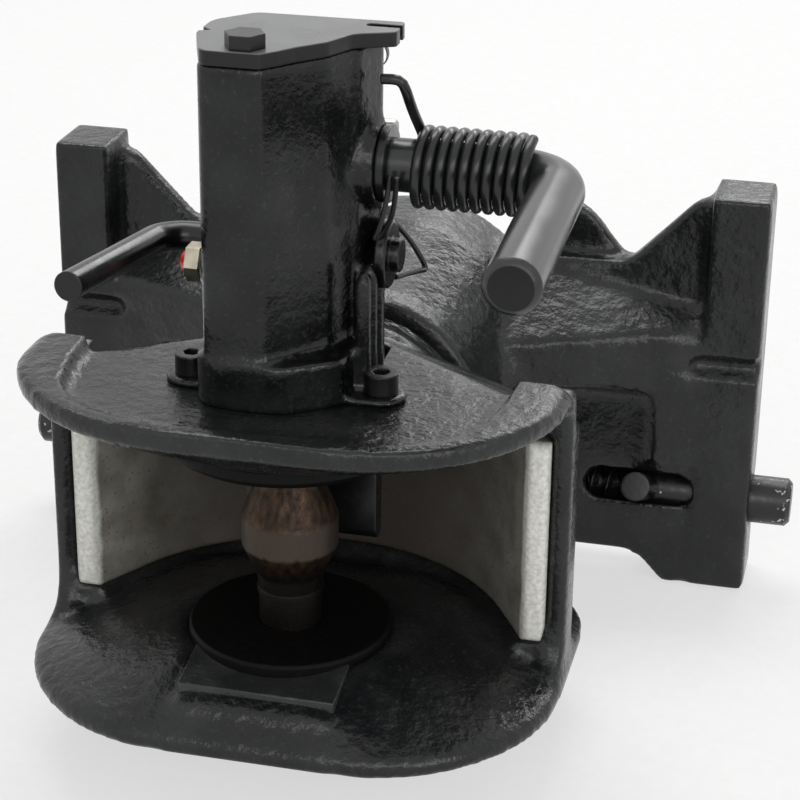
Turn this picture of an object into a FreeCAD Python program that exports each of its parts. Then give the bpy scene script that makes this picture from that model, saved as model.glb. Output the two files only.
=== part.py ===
"""Automatic tow hitch for a 38 mm pin, hung in a tractor's 329 mm ladder rails.

Frame of the part: +X to the right, +Y forward to the tractor, +Z up, millimetres.
The pin's axis is X = 0, Y = 0, and Z = 0 is the top of the lower wear disc.
"""
import FreeCAD, Part
import math
import os
import Sketcher

doc = FreeCAD.newDocument("automatic_tow_hitch")
sheet = doc.addObject("Spreadsheet::Sheet", "Sizes")
V = FreeCAD.Vector


class Size:
    """A length or angle: its value, and the same thing as an expression of the sheet."""

    def __init__(self, value, text):
        self.value = value
        self.text = text

    def __add__(self, other):
        return Size(self.value + number(other), "(%s + %s)" % (self.text, text(other)))

    def __radd__(self, other):
        return Size(number(other) + self.value, "(%s + %s)" % (text(other), self.text))

    def __sub__(self, other):
        return Size(self.value - number(other), "(%s - %s)" % (self.text, text(other)))

    def __rsub__(self, other):
        return Size(number(other) - self.value, "(%s - %s)" % (text(other), self.text))

    def __mul__(self, other):
        return Size(self.value * number(other), "(%s * %s)" % (self.text, text(other)))

    __rmul__ = __mul__

    def __truediv__(self, other):
        return Size(self.value / number(other), "(%s / %s)" % (self.text, text(other)))

    def __neg__(self):
        return Size(-self.value, "(-1 * %s)" % self.text)


def number(item):
    return item.value if isinstance(item, Size) else float(item)


def text(item):
    return item.text if isinstance(item, Size) else repr(float(item))


def cosine(angle):
    return Size(math.cos(math.radians(angle.value)), "cos(%s * 1 deg)" % angle.text)


def sine(angle):
    return Size(math.sin(math.radians(angle.value)), "sin(%s * 1 deg)" % angle.text)


rows = []


def size(name, value):
    """Writes one driving dimension to the sheet and gives it back."""
    rows.append(name)
    cell = "B%d" % len(rows)
    sheet.set("A%d" % len(rows), name)
    sheet.set(cell, repr(value))
    sheet.setAlias(cell, name)
    return Size(float(value), "Sizes." + name)


# Coupling pin and its travel
pin_r = size("pin_radius", 19.0)
neck_r = size("pin_neck_radius", 12.7)
tip_r = size("pin_tip_radius", 12.5)
stem_r = size("stem_radius", 8.0)
tip_z = size("pin_tip_z", -14.0)
ring_z = size("pin_ring_z", 12.0)
ring_depth = size("pin_ring_depth", 0.7)
waist_z = size("pin_waist_z", 21.7)
waist_r = size("pin_waist_radius", 13.5)
belly_low_z = size("belly_low_z", 33.4)
belly_high_z = size("belly_high_z", 45.5)
neck_z = size("neck_start_z", 61.7)
lift = size("pin_lift", 60.0)
running = size("running_clearance", 0.05)
loose = size("loose_clearance", 0.35)
free_gap = size("moving_gap", 0.8)
edge = size("edge_break", 1.0)

# Jaw
jaw_r = size("jaw_radius", 108.0)
lip_front = size("lip_front", 66.0)
lip_corner_r = size("lip_corner_radius", 75.0)
lip_back_r = size("lip_back_corner_radius", 40.0)
lip_t = size("lip_thickness", 7.4)
lip_edge_z = size("lower_lip_edge_z", -22.5)
disc_r = size("lower_disc_radius", 40.2)
disc_t = size("lower_disc_thickness", 6.0)
disc_proud = size("lower_disc_proud", 3.0)
boss_r = size("lower_boss_radius", 31.0)
boss_low_z = size("lower_boss_bottom_z", -31.0)
upper_disc_r = size("upper_disc_radius", 50.0)
upper_disc_z = size("upper_disc_bottom_z", 79.0)
upper_disc_t = size("upper_disc_thickness", 7.0)
deck_z = size("upper_deck_z", 100.0)
rim_z = size("upper_rim_z", 106.0)
rim_w = size("upper_rim_width", 8.0)
rim_under_z = size("upper_rim_underside_z", 98.0)
shoulder_x = size("shoulder_start_x", 83.0)
shoulder_y = size("shoulder_start_y", 11.0)
shoulder_turn = size("shoulder_turn", 34.4)
shoulder_fall = size("shoulder_fall", 28.8)
roof_drop = size("roof_drop", 9.0)
wall_front = size("wall_front_y", 20.0)
liner_r = size("liner_inner_radius", 88.0)
liner_t = size("liner_thickness", 9.0)
liner_low = size("liner_bottom_z", -10.0)
liner_high = size("liner_top_z", 77.0)
liner_arc = size("liner_arc_half_angle", 60.0)
collar_r = size("collar_radius", 47.0)
collar_face = size("collar_face_y", 111.0)
pad_w = size("front_pad_width", 62.0)
pad_d = size("front_pad_depth", 30.0)
pad_front = size("front_pad_back_y", -26.0)
pad_z = size("front_pad_top_z", -3.0)

# Swivel
swivel_z = size("swivel_axis_z", 41.5)
shaft_r = size("swivel_shaft_radius", 28.0)
bush_wall = size("swivel_bush_wall", 4.0)
bush_length = size("swivel_bush_length", 26.0)
washer_t = size("thrust_washer_thickness", 1.0)
hub_front_r = size("hub_front_radius", 52.0)
hub_back_r = size("hub_back_radius", 63.0)
hub_back = size("hub_back_y", 224.0)
thread_r = size("swivel_thread_radius", 20.0)
nut_flats = size("castle_nut_flats", 60.0)
nut_t = size("castle_nut_height", 30.0)
nut_washer_t = size("nut_washer_thickness", 6.0)
nut_washer_r = size("nut_washer_radius", 42.0)
split_r = size("split_pin_radius", 3.0)

# Frame casting
frame_w = size("width_over_rails", 329.0)
rail_w = size("rail_strip_width", 25.0)
rail_t = size("rail_thickness", 32.0)
rail_back = size("rail_back_y", 212.0)
rail_top = size("rail_top_z", 127.5)
rail_low = size("rail_bottom_z", -61.35)
web_top = size("web_top_z", 89.0)
web_low = size("web_bottom_z", -47.0)
web_step = size("web_step_back", 3.0)
foot_x = size("foot_inner_x", 126.0)
wing_front = size("wing_front_y", 195.0)
wing_t = size("wing_thickness", 9.0)
wing_foot_x = size("wing_foot_x", 103.0)
wing_top_z = size("wing_top_z", 121.0)
wing_top_x = size("wing_top_x", 131.0)
lobe_t = size("lobe_thickness", 8.0)
lobe_out_x = size("lobe_outer_x", 101.0)
lobe_in_x = size("lobe_inner_x", 44.0)
lobe_top_z = size("lobe_top_z", 121.0)
lobe_r = size("lobe_corner_radius", 14.0)
nose_half = size("web_nose_half_width", 38.0)
nose_y = size("web_nose_front_y", 142.0)
shelf_z = size("shelf_edge_z", 62.0)
shelf_lean = size("shelf_lean", 0.1987)
shelf_rise = size("shelf_rise", 0.5442)
groove_z = size("rail_groove_z", 49.0)
groove_h = size("rail_groove_height", 4.0)
groove_deep = size("rail_groove_depth", 3.0)
pocket_deep = size("back_pocket_depth", 14.0)

# Locking pins
lock_r = size("locking_pin_radius", 11.0)
lock_z = size("locking_pin_z", -20.5)
lock_out = size("locking_pin_standout", 18.0)
lock_travel = size("locking_pin_travel", 20.0)
lock_tail_x = size("locking_pin_tail_x", 108.0)
lock_bore_x = size("locking_bore_end_x", 62.0)
grip_r = size("grip_radius", 6.4)
grip_x = size("grip_x", 116.0)
grip_length = size("grip_length", 52.0)
grip_tilt = size("grip_tilt", 25.0)
grip_slot_end_x = size("grip_slot_outer_x", 138.0)
lock_spring_r = size("locking_spring_radius", 8.5)
lock_spring_wire = size("locking_spring_wire", 1.5)

# Mechanism housing on the upper deck
tower_top = size("tower_top_z", 230.0)
tower_front = size("tower_front_y", -28.0)
tower_back = size("tower_back_y", 28.0)
tower_left = size("tower_left_x", -29.0)
cover_left = size("cover_left_x", -31.5)
tower_wall = size("tower_wall", 4.5)
bore_r = size("tower_bore_radius", 13.4)
seat_low_z = size("belly_pocket_top_z", 106.5)
seat_high_z = size("neck_pocket_top_z", 122.7)
guide_z = size("guide_bush_top_z", 139.0)
guide_wall = size("guide_bush_wall", 2.2)
cover_t = size("cover_thickness", 5.5)
foot_h = size("tower_foot_height", 19.0)
screw_x = size("deck_screw_x", 37.0)
screw_y = size("deck_screw_y", -4.0)
screw_head_r = size("deck_screw_head_radius", 6.5)
screw_head_h = size("deck_screw_head_height", 8.0)
screw_r = size("deck_screw_radius", 4.0)
ear_t = size("deck_ear_thickness", 3.0)
bolt_flats = size("cover_bolt_flats", 13.0)
bolt_head_h = size("cover_bolt_head_height", 5.3)

# Hand lever and crank
lever_y = size("lever_axis_y", 20.5)
lever_z = size("lever_axis_z", 184.0)
lever_r = size("lever_rod_radius", 10.0)
journal_r = size("lever_journal_radius", 7.0)
lever_bend_x = size("lever_bend_x", 99.0)
lever_end_x = size("lever_end_x", 101.5)
lever_bend_r = size("lever_bend_radius", 19.0)
lever_end_y = size("lever_end_y", -94.5)
lever_swing = size("lever_swing", 110.0)
cross_boss_r = size("lever_boss_radius", 15.5)
cross_boss_left = size("lever_boss_left_x", -28.5)
cross_boss_right = size("lever_boss_right_x", 31.0)
lever_bush_wall = size("lever_bush_wall", 2.0)
crank_length = size("crank_length", 35.1)
crank_x = size("crank_left_x", -20.5)
crank_t = size("crank_thickness", 6.0)
crank_hub_r = size("crank_hub_radius", 10.5)
crank_tip_r = size("crank_tip_radius", 6.0)
roller_r = size("crank_roller_radius", 4.0)
slot_gap = size("yoke_slot_clearance", 1.6)
yoke_low_z = size("yoke_bottom_z", 143.5)
yoke_h = size("yoke_height", 21.0)
yoke_left_x = size("yoke_left_x", -13.2)
yoke_front_y = size("yoke_front_y", -19.0)
yoke_back_y = size("yoke_back_y", 9.0)
yoke_slot_deep = size("yoke_slot_depth", 8.5)
spring_wire = size("lever_spring_wire", 4.0)
spring_r = size("lever_spring_mean_radius", 13.9)
spring_x = size("lever_spring_start_x", 43.0)
spring_pitch = size("lever_spring_pitch", 4.4)
spring_turns = size("lever_spring_turns", 10.0)
collar_t = size("lever_collar_thickness", 3.0)
collar_out_r = size("lever_collar_radius", 14.5)

# Release lever, pawl and trigger
release_y = size("release_axis_y", 18.9)
release_z = size("release_axis_z", 149.2)
release_r = size("release_rod_radius", 5.5)
release_bend_x = size("release_bend_x", -54.0)
release_end_x = size("release_end_x", -64.0)
release_end_y = size("release_end_y", -58.0)
release_tilt = size("release_tilt", 4.0)
release_bend_r = size("release_bend_radius", 13.0)
release_boss_r = size("release_boss_radius", 9.0)
pawl_half = size("pawl_half_width", 6.0)
pawl_nose_z = size("pawl_nose_bottom_z", 158.0)
groove_low = size("latch_groove_bottom_z", 97.5)
latch_r = size("latch_groove_radius", 10.2)
ring_top = size("latch_ring_top_z", 141.0)
link_r = size("pawl_link_pin_radius", 2.5)
link_gap = size("fork_clearance", 0.6)
trigger_y = size("trigger_axis_y", 40.0)
trigger_z = size("trigger_axis_z", 92.0)
trigger_half = size("trigger_half_width", 27.0)
trigger_face_y = size("trigger_face_y", 30.0)
trigger_t = size("trigger_thickness", 9.0)
trigger_low_z = size("trigger_bottom_z", 22.0)
barrel_r = size("trigger_barrel_radius", 7.0)
hinge_r = size("trigger_hinge_radius", 4.0)
casing_half = size("latch_casing_half_width", 15.0)
casing_wall = size("latch_casing_wall", 5.0)

# Indicator
flag_y = size("indicator_y", -10.0)
flag_z = size("indicator_z", 150.0)
flag_flats = size("indicator_hex_flats", 13.0)
flag_hex_t = size("indicator_hex_length", 5.5)
flag_r = size("indicator_cap_radius", 5.0)
flag_stem_r = size("indicator_stem_radius", 2.5)
flag_travel = size("indicator_travel", 4.0)

doc.recompute()

parts = []


def bind(item, prop, length):
    item.setExpression(prop, text(length))


def as_part(item, name):
    """Marks a finished object as a sub-part, exported under this name."""
    item.Label = name
    parts.append(item)
    return item


def sketch_on(body, name, role, place):
    """A sketch on one of the body's own planes, shifted by place in the sketch's axes."""
    sketch = body.newObject("Sketcher::SketchObject", name)
    plane = [item for item in body.Origin.OriginFeatures if item.Role == role][0]
    sketch.AttachmentSupport = [(plane, "")]
    sketch.MapMode = "FlatFace"
    sketch.AttachmentOffset = FreeCAD.Placement(V(*[number(item) for item in place]), FreeCAD.Rotation())
    for letter, length in zip("xyz", place):
        bind(sketch, "AttachmentOffset.Base.%s" % letter, length)
    return sketch


def fix_point(sketch, geometry, position, u, v):
    """Ties a point of the sketch to its two lengths from the sketch's origin."""
    for kind, length in (("DistanceX", u), ("DistanceY", v)):
        index = sketch.addConstraint(Sketcher.Constraint(kind, -1, 1, geometry, position, number(length)))
        bind(sketch, "Constraints[%d]" % index, length)


def circle(sketch, u, v, radius):
    index = sketch.addGeometry(Part.Circle(V(number(u), number(v), 0), V(0, 0, 1), number(radius)), False)
    fix_point(sketch, index, 3, u, v)
    rule = sketch.addConstraint(Sketcher.Constraint("Radius", index, number(radius)))
    bind(sketch, "Constraints[%d]" % rule, radius)


def outline(sketch, corners, closed=True):
    """Straight runs through the corners (u, v) or (u, v, radius), rounded where a radius is given."""
    spots = [V(number(c[0]), number(c[1]), 0) for c in corners]
    count = len(corners)
    ends = []
    for i, corner in enumerate(corners):
        inner = closed or 0 < i < count - 1
        if len(corner) < 3 or not inner:
            ends.append((spots[i], spots[i], None))
            continue
        back = (spots[i - 1] - spots[i]).normalize()
        ahead = (spots[(i + 1) % count] - spots[i]).normalize()
        half = back.getAngle(ahead) / 2
        reach = number(corner[2]) / math.tan(half)
        centre = spots[i] + (back + ahead).normalize() * (number(corner[2]) / math.sin(half))
        ends.append((spots[i] + back * reach, spots[i] + ahead * reach, centre))
    lines = []
    for i in range(count if closed else count - 1):
        run = Part.LineSegment(ends[i][1], ends[(i + 1) % count][0])
        lines.append(sketch.addGeometry(run, False))
    for i, corner in enumerate(corners):
        before = lines[i - 1] if closed or i else None
        after = lines[i] if i < len(lines) else None
        start, stop, centre = ends[i]
        if centre is None:
            if before is not None and after is not None:
                sketch.addConstraint(Sketcher.Constraint("Coincident", before, 2, after, 1))
            if after is not None:
                fix_point(sketch, after, 1, corner[0], corner[1])
            else:
                fix_point(sketch, before, 2, corner[0], corner[1])
            continue
        radius = number(corner[2])
        first = math.atan2(start.y - centre.y, start.x - centre.x)
        last = math.atan2(stop.y - centre.y, stop.x - centre.x)
        left_turn = (spots[i] - start).cross(stop - spots[i]).z > 0
        ring = Part.Circle(centre, V(0, 0, 1), radius)
        bow = Part.ArcOfCircle(ring, first, last) if left_turn else Part.ArcOfCircle(ring, last, first)
        arc = sketch.addGeometry(bow, False)
        enter, leave = (1, 2) if left_turn else (2, 1)
        sketch.addConstraint(Sketcher.Constraint("Tangent", before, 2, arc, enter))
        sketch.addConstraint(Sketcher.Constraint("Tangent", arc, leave, after, 1))
        rule = sketch.addConstraint(Sketcher.Constraint("Radius", arc, radius))
        bind(sketch, "Constraints[%d]" % rule, corner[2])
        mark = sketch.addGeometry(Part.Point(spots[i]), True)
        sketch.addConstraint(Sketcher.Constraint("PointOnObject", mark, 1, before))
        sketch.addConstraint(Sketcher.Constraint("PointOnObject", mark, 1, after))
        fix_point(sketch, mark, 1, corner[0], corner[1])


def new_body(name):
    return doc.addObject("PartDesign::Body", name)


def prism(name, role, corners, start, length):
    """Pads an outline from start along the plane's positive world axis."""
    body = new_body(name)
    lift_off = -(start + length) if role == "XZ_Plane" else 1.0 * start
    sketch = sketch_on(body, name + "_outline", role, (0, 0, lift_off))
    outline(sketch, corners)
    feature = body.newObject("PartDesign::Pad", name + "_pad")
    feature.Profile = sketch
    bind(feature, "Length", length)
    return body


TURNING = {"X": ("XY_Plane", "H_Axis"), "Y": ("YZ_Plane", "H_Axis"), "Z": ("XZ_Plane", "V_Axis")}


def turned(name, axis, corners, centre=(0, 0)):
    """Turns an outline about a line along axis; corners are (along, radius), or (radius, z) for Z."""
    body = new_body(name)
    role, reference = TURNING[axis]
    place = {"X": (0, centre[0], centre[1]), "Y": (0, centre[1], centre[0]),
             "Z": (centre[0], 0, -1 * centre[1])}[axis]
    sketch = sketch_on(body, name + "_profile", role, place)
    outline(sketch, corners)
    feature = body.newObject("PartDesign::Revolution", name + "_revolution")
    feature.Profile = sketch
    feature.ReferenceAxis = (sketch, [reference])
    feature.Angle = 360
    return body


def cylinder(name, axis, start, length, radius, centre=(0, 0), inner=None):
    """A plain round bar or, with an inner radius, a tube."""
    along = (start, start + length)
    low = inner if inner is not None else 0
    corners = [(along[0], low), (along[1], low), (along[1], radius), (along[0], radius)]
    if axis == "Z":
        corners = [(r, a) for a, r in corners]
    return turned(name, axis, corners, centre)


def pipe(name, role, place, path, profile_role, profile_place, radius):
    """A round rod along a path of straight runs and tangent bends."""
    body = new_body(name)
    spine = sketch_on(body, name + "_path", role, place)
    outline(spine, path, closed=False)
    section = sketch_on(body, name + "_section", profile_role, profile_place)
    circle(section, 0, 0, radius)
    feature = body.newObject("PartDesign::AdditivePipe", name + "_pipe")
    feature.Profile = section
    feature.Spine = (spine, [])
    return body


def join(name, *items):
    feature = doc.addObject("Part::MultiFuse", name)
    feature.Shapes = list(items)
    feature.Refine = True
    return feature


def common(name, *items):
    feature = doc.addObject("Part::MultiCommon", name)
    feature.Shapes = list(items)
    return feature


def cut(name, base, *tools):
    """Cuts all the tools from base."""
    tool = tools[0] if len(tools) == 1 else join(name + "_tools", *tools)
    feature = doc.addObject("Part::Cut", name)
    feature.Base = base
    feature.Tool = tool
    feature.Refine = True
    return feature


def edges_of(shape, test):
    return [i + 1 for i, item in enumerate(shape.Edges) if test(item)]


def rounded(name, base, radius, test):
    """Rounds the edges of a boolean result that pass the test."""
    doc.recompute()
    feature = doc.addObject("Part::Fillet", name)
    feature.Base = base
    value = number(radius)
    feature.Edges = [(index, value, value) for index in edges_of(base.Shape, test)]
    return feature


def dress(body, kind, radius, test):
    """Fillets or chamfers the edges of a body's tip that pass the test."""
    doc.recompute()
    base = body.Tip
    feature = body.newObject("PartDesign::" + kind, body.Name + "_" + kind.lower())
    feature.Base = (base, ["Edge%d" % index for index in edges_of(base.Shape, test)])
    bind(feature, "Radius" if kind == "Fillet" else "Size", radius)
    return body


def hexagon(flats, u=0, v=0):
    """Corners of a hexagon over its flats, two corners on the u axis."""
    reach = flats / math.sqrt(3)
    turns = [math.radians(60 * i) for i in range(6)]
    return [(u + reach * math.cos(a), v + reach * math.sin(a)) for a in turns]


def is_round(item, radius):
    return hasattr(item.Curve, "Radius") and abs(item.Curve.Radius - number(radius)) < 0.01


def flat_at(item, axis, value):
    """True for an edge that lies in the plane where axis has this value."""
    box = item.BoundBox
    low = getattr(box, axis + "Min")
    high = getattr(box, axis + "Max")
    return abs(low - number(value)) < 0.02 and abs(high - number(value)) < 0.02


# Lips of the jaw: ruled shells between a ring round the pin and the lips' plan outline
def lip_corners(inset, back):
    """Plan outline that both lips share, drawn in by inset, with its back at this distance."""
    side = jaw_r - inset
    front = inset - lip_front
    radius = lip_corner_r - inset
    return [(-1 * side, front, radius), (side, front, radius), (side, back, lip_back_r),
            (-1 * side, back, lip_back_r)]


def ring_corners(radius):
    """A square with corners so round that it is all but a circle."""
    bend = radius - 0.2
    return [(-1 * radius, -1 * radius, bend), (radius, -1 * radius, bend), (radius, radius, bend),
            (-1 * radius, radius, bend)]


def loft(name, low_z, low, high_z, high):
    """Ruled solid between two level outlines with the same number of corners."""
    body = new_body(name)
    sketches = []
    for tag, z, corners in (("low", low_z, low), ("high", high_z, high)):
        sketch = sketch_on(body, name + "_" + tag, "XY_Plane", (0, 0, z))
        outline(sketch, corners)
        sketches.append(sketch)
    feature = body.newObject("PartDesign::AdditiveLoft", name + "_loft")
    feature.Profile = sketches[0]
    feature.Sections = [(sketches[1], [""])]
    feature.Ruled = True
    return body


reach = jaw_r * 1.25
seat_z = -1 * disc_t
lip_start_z = -1 * disc_proud
lip_low_z = lip_edge_z - lip_t
pin_hole_r = tip_r + loose + bush_wall
lip_back = jaw_r - 10
floor_r = disc_r + 2
lower_top = loft("lower_top", lip_edge_z, lip_corners(0, lip_back), lip_start_z, ring_corners(floor_r))
lower_under = loft("lower_under", lip_low_z, lip_corners(1.5, lip_back), lip_start_z - lip_t,
                   ring_corners(floor_r))
lower_rim = prism("lower_rim", "XY_Plane", lip_corners(0, lip_back), lip_low_z, lip_t)
lower_boss = turned("lower_boss", "Z", [
    (0, boss_low_z), (boss_r - edge, boss_low_z), (boss_r, boss_low_z + edge), (boss_r, seat_z),
    (0, seat_z)])
disc_recess = turned("disc_recess", "Z", [
    (0, boss_low_z - 1), (pin_hole_r, boss_low_z - 1), (pin_hole_r, seat_z), (disc_r + loose, seat_z),
    (disc_r + loose, 1), (0, 1)])
lower_shell = cut("lower_shell", join("lower_block", lower_top, lower_rim), lower_under)

disc_seat_z = upper_disc_z + upper_disc_t
upper_ring_r = upper_disc_r + 1
upper_back = jaw_r * 0.7
upper_low = loft("upper_low", disc_seat_z, ring_corners(upper_ring_r), rim_under_z,
                 lip_corners(0, upper_back))
upper_rim = prism("upper_rim", "XY_Plane", lip_corners(0, upper_back), rim_under_z, rim_z - rim_under_z)
deck_recess = loft("deck_recess", deck_z, lip_corners(rim_w * 2, reach), rim_z + 0.1,
                   lip_corners(rim_w, reach + rim_w))
pin_gate = cylinder("pin_gate", "Z", disc_seat_z - 1, deck_z - disc_seat_z + 2, pin_r + loose)
upper_dish = cut("upper_dish", join("upper_block", upper_low, upper_rim), deck_recess, pin_gate)


def shoulder(name, side, drop):
    """Space above the oblique slope behind the deck, lowered by drop."""
    box = doc.addObject("Part::Box", name)
    bind(box, "Length", 4 * jaw_r)
    bind(box, "Width", 2 * jaw_r)
    bind(box, "Height", jaw_r)
    box.Placement = FreeCAD.Placement(V(0, 0, 0), FreeCAD.Rotation(
        -side * shoulder_turn.value, 0, -shoulder_fall.value))
    bind(box, "Placement.Base.x", side * shoulder_x - 2 * jaw_r * cosine(shoulder_turn))
    bind(box, "Placement.Base.y", shoulder_y + side * 2 * jaw_r * sine(shoulder_turn))
    bind(box, "Placement.Base.z", deck_z - drop)
    return box


def shoulders(name, drop):
    return join(name, shoulder(name + "_left", -1, drop), shoulder(name + "_right", 1, drop))


outer_slopes = shoulders("outer_slopes", 0)
inner_slopes = shoulders("inner_slopes", roof_drop)
liner_slopes = shoulders("liner_slopes", roof_drop + 0.5)
upper_deck = cut("upper_deck", upper_dish, outer_slopes)
rim_keep = join("rim_keep", *[prism("rim_keep_%d" % i, "XY_Plane", corners, disc_seat_z, jaw_r)
                              for i, corners in enumerate((
                                  [(-1 * reach, -40), (2 * rim_w - jaw_r, -40),
                                   (2 * rim_w - jaw_r, wall_front + 4), (-1 * reach, wall_front + 4)],
                                  [(jaw_r - 2 * rim_w, -40), (reach, -40), (reach, wall_front + 4),
                                   (jaw_r - 2 * rim_w, wall_front + 4)]))])
side_rims = common("side_rims", upper_dish, rim_keep)

def horseshoe(name, radius, low, height):
    """Plan area behind the pin inside this radius, with tangent flares to the wall's front edge."""
    fan = cosine(liner_arc)
    side = sine(liner_arc)
    knee_x = radius * side
    knee_y = radius * fan
    end_x = knee_x + (knee_y - wall_front) * fan / side
    rounded_back = cylinder(name + "_arc", "Z", low, height, radius)
    wedge = prism(name + "_flare", "XY_Plane", [
        (-1 * end_x, wall_front), (end_x, wall_front), (knee_x, knee_y), (-1 * knee_x, knee_y)],
        low, height)
    keep = prism(name + "_keep", "XY_Plane", [
        (-1 * reach, wall_front), (reach, wall_front), (reach, reach), (-1 * reach, reach)],
        low - 1, height + 2)
    fan_keep = prism(name + "_fan", "XY_Plane", [
        (0, 0), (reach * side, reach * fan), (reach, reach * 1.2), (-1 * reach, reach * 1.2),
        (-1 * reach * side, reach * fan)], low - 1, height + 2)
    return join(name, common(name + "_back", rounded_back, fan_keep, keep), wedge)


# Back of the jaw: block behind the mouth with its sloping shoulders, collar and front arches
wall_in = liner_r + liner_t
wall_out = jaw_r - 1
back_y = jaw_r - edge
block = prism("block", "XY_Plane", [
    (-1 * wall_out, wall_front), (wall_out, wall_front), (wall_out, 52, 50), (58, back_y, 40),
    (-58, back_y, 40), (-1 * wall_out, 52, 50)], lip_low_z, deck_z - lip_low_z)
block_under = prism("block_under", "YZ_Plane", [
    (66, lip_low_z), (reach, lip_low_z - 40), (reach, lip_low_z + (reach - 66) * 0.3)],
    -2 * jaw_r, 4 * jaw_r)
collar = turned("collar", "Y", [
    (collar_face - 24, 0), (collar_face, 0), (collar_face, collar_r - 1.5), (collar_face - 1.5, collar_r),
    (collar_face - 10, collar_r, 4), (collar_face - 24, collar_r + 5)], (0, swivel_z))
mouth_blank = turned("mouth_blank", "Z", [
    (0, lip_start_z), (floor_r, lip_start_z), (liner_r - 8, lip_edge_z + 1, 3), (liner_r + 1, liner_low),
    (wall_in, liner_low), (wall_in, rim_under_z - 6, 10), (0, rim_under_z - 6)])
liner_seat = horseshoe("liner_seat", wall_in + 0.3, liner_low, rim_under_z - 8 - liner_low)
mouth_space = cut("mouth_space", join("mouth_room", mouth_blank, liner_seat), inner_slopes)


def arch(name, side):
    """Front end of the jaw's side wall, turned over into the upper lip's rim."""
    corners = [(side * wall_in, lip_low_z), (side * wall_out, lip_low_z), (side * wall_out, rim_z, 12),
               (side * (wall_in - 9), rim_z - 1), (side * (wall_in - 9), rim_under_z),
               (side * wall_in, rim_under_z - 8, 6)]
    return prism(name, "XZ_Plane", corners[::side], wall_front, 8)


back_shell = cut("back_shell", join("back_block", cut("back_roof", block, outer_slopes, block_under),
                                    collar, arch("arch_left", -1), arch("arch_right", 1)), mouth_space)

# Raised pad in front of the lower disc
raised_pad = prism("raised_pad", "XY_Plane", [
    (pad_w / -2, pad_front - pad_d), (pad_w / 2, pad_front - pad_d), (pad_w / 2 - 2, pad_front),
    (2 - pad_w / 2, pad_front)], lip_edge_z + 3, pad_z - lip_edge_z - 3)

# Slot in the deck for the trigger, and the bores of its hinge pin and of the deck screws
slot_back = trigger_y + barrel_r + 9
trigger_slot = prism("trigger_slot", "XY_Plane", [
    (-1 * trigger_half - free_gap, trigger_face_y - 3), (trigger_half + free_gap, trigger_face_y - 3),
    (trigger_half + free_gap, slot_back), (-1 * trigger_half - free_gap, slot_back)],
    upper_disc_z - 5, deck_z + 10 - upper_disc_z)
hinge_reach = trigger_half + 12
hinge_bore = cylinder("hinge_bore", "X", -1 * hinge_reach, 2 * hinge_reach, hinge_r,
                      (trigger_y, trigger_z))


def screw_pair(name, radius, low, height):
    return join(name, *[cylinder("%s_%d" % (name, i), "Z", low, height, radius, (side * screw_x, screw_y))
                        for i, side in enumerate((-1, 1))])


screw_bores = screw_pair("screw_bores", screw_r, upper_disc_z, rim_z - upper_disc_z)
jaw_solid = join("jaw_solid", back_shell, lower_shell, lower_boss, upper_deck, side_rims, raised_pad)
shaft_socket = cylinder("shaft_socket", "Y", collar_face - 14, 20, shaft_r - 4, (0, swivel_z))
as_part(cut("jaw_casting", jaw_solid, disc_recess, trigger_slot, hinge_bore, screw_bores, shaft_socket),
        "jaw_casting")

# Horseshoe liner round the mouth
liner_h = liner_high - liner_low
liner_outer = horseshoe("liner_outer", wall_in, liner_low, liner_h)
liner_inner = horseshoe("liner_inner", liner_r, liner_low - 1, liner_h + 2)
liner_cut = cut("liner_cut", liner_outer, liner_inner, liner_slopes)
as_part(rounded("jaw_liner", liner_cut, 3, lambda e: flat_at(e, "Y", wall_front)), "jaw_liner")

# Wear discs and the bush under the pin's tip
as_part(dress(cylinder("lower_wear_disc", "Z", seat_z, disc_t, disc_r, inner=tip_r + loose),
              "Chamfer", edge, lambda e: is_round(e, disc_r) and flat_at(e, "Z", 0)), "lower_wear_disc")
as_part(cylinder("lower_pin_bush", "Z", boss_low_z, seat_z - boss_low_z, pin_hole_r,
                 inner=tip_r + loose), "lower_pin_bush")
upper_disc_blank = turned("upper_disc_blank", "Z", [
    (pin_r + loose, upper_disc_z), (upper_disc_r - 3, upper_disc_z), (upper_disc_r, upper_disc_z + 3),
    (upper_disc_r, disc_seat_z), (pin_r + loose, disc_seat_z)])
disc_notch = prism("disc_notch", "XY_Plane", [
    (-1 * reach, trigger_face_y - 3), (reach, trigger_face_y - 3), (reach, reach),
    (-1 * reach, reach)], upper_disc_z - 1, upper_disc_t + 2)
disc_taps = screw_pair("disc_taps", screw_r, upper_disc_z + 1, upper_disc_t)
as_part(cut("upper_wear_disc", upper_disc_blank, disc_notch, disc_taps), "upper_wear_disc")

# Coupling pin with its barrel belly, latch groove, stem and spring bore
stem_top = tower_top - free_gap * 2 - lift
spring_bore_r = size("pin_spring_bore_radius", 5.5)
spring_bore_z = size("pin_spring_bore_bottom_z", 104.0)
groove_high = pawl_nose_z + 8.2 - lift
pin_profile = [
    (0, tip_z), (tip_r - 2, tip_z), (tip_r, tip_z + 3), (tip_r, ring_z), (tip_r + ring_depth, ring_z + 0.5),
    (tip_r + ring_depth, ring_z + 2.5), (tip_r + 0.1, ring_z + 3.2), (waist_r, waist_z, 8),
    (pin_r, belly_low_z, 3), (pin_r, belly_high_z, 4), (neck_r, neck_z, 6), (neck_r, groove_low),
    (latch_r, groove_low + 1), (latch_r, groove_high), (neck_r, groove_high),
    (neck_r, ring_top - 1), (neck_r - 1, ring_top), (stem_r, ring_top), (stem_r, stem_top),
    (spring_bore_r, stem_top), (spring_bore_r, spring_bore_z), (0, spring_bore_z)]
pin_blank = turned("pin_blank", "Z", pin_profile)
yoke_pin_z = yoke_low_z + yoke_h - 4.5
yoke_pin_r = size("yoke_pin_radius", 2.0)
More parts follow.
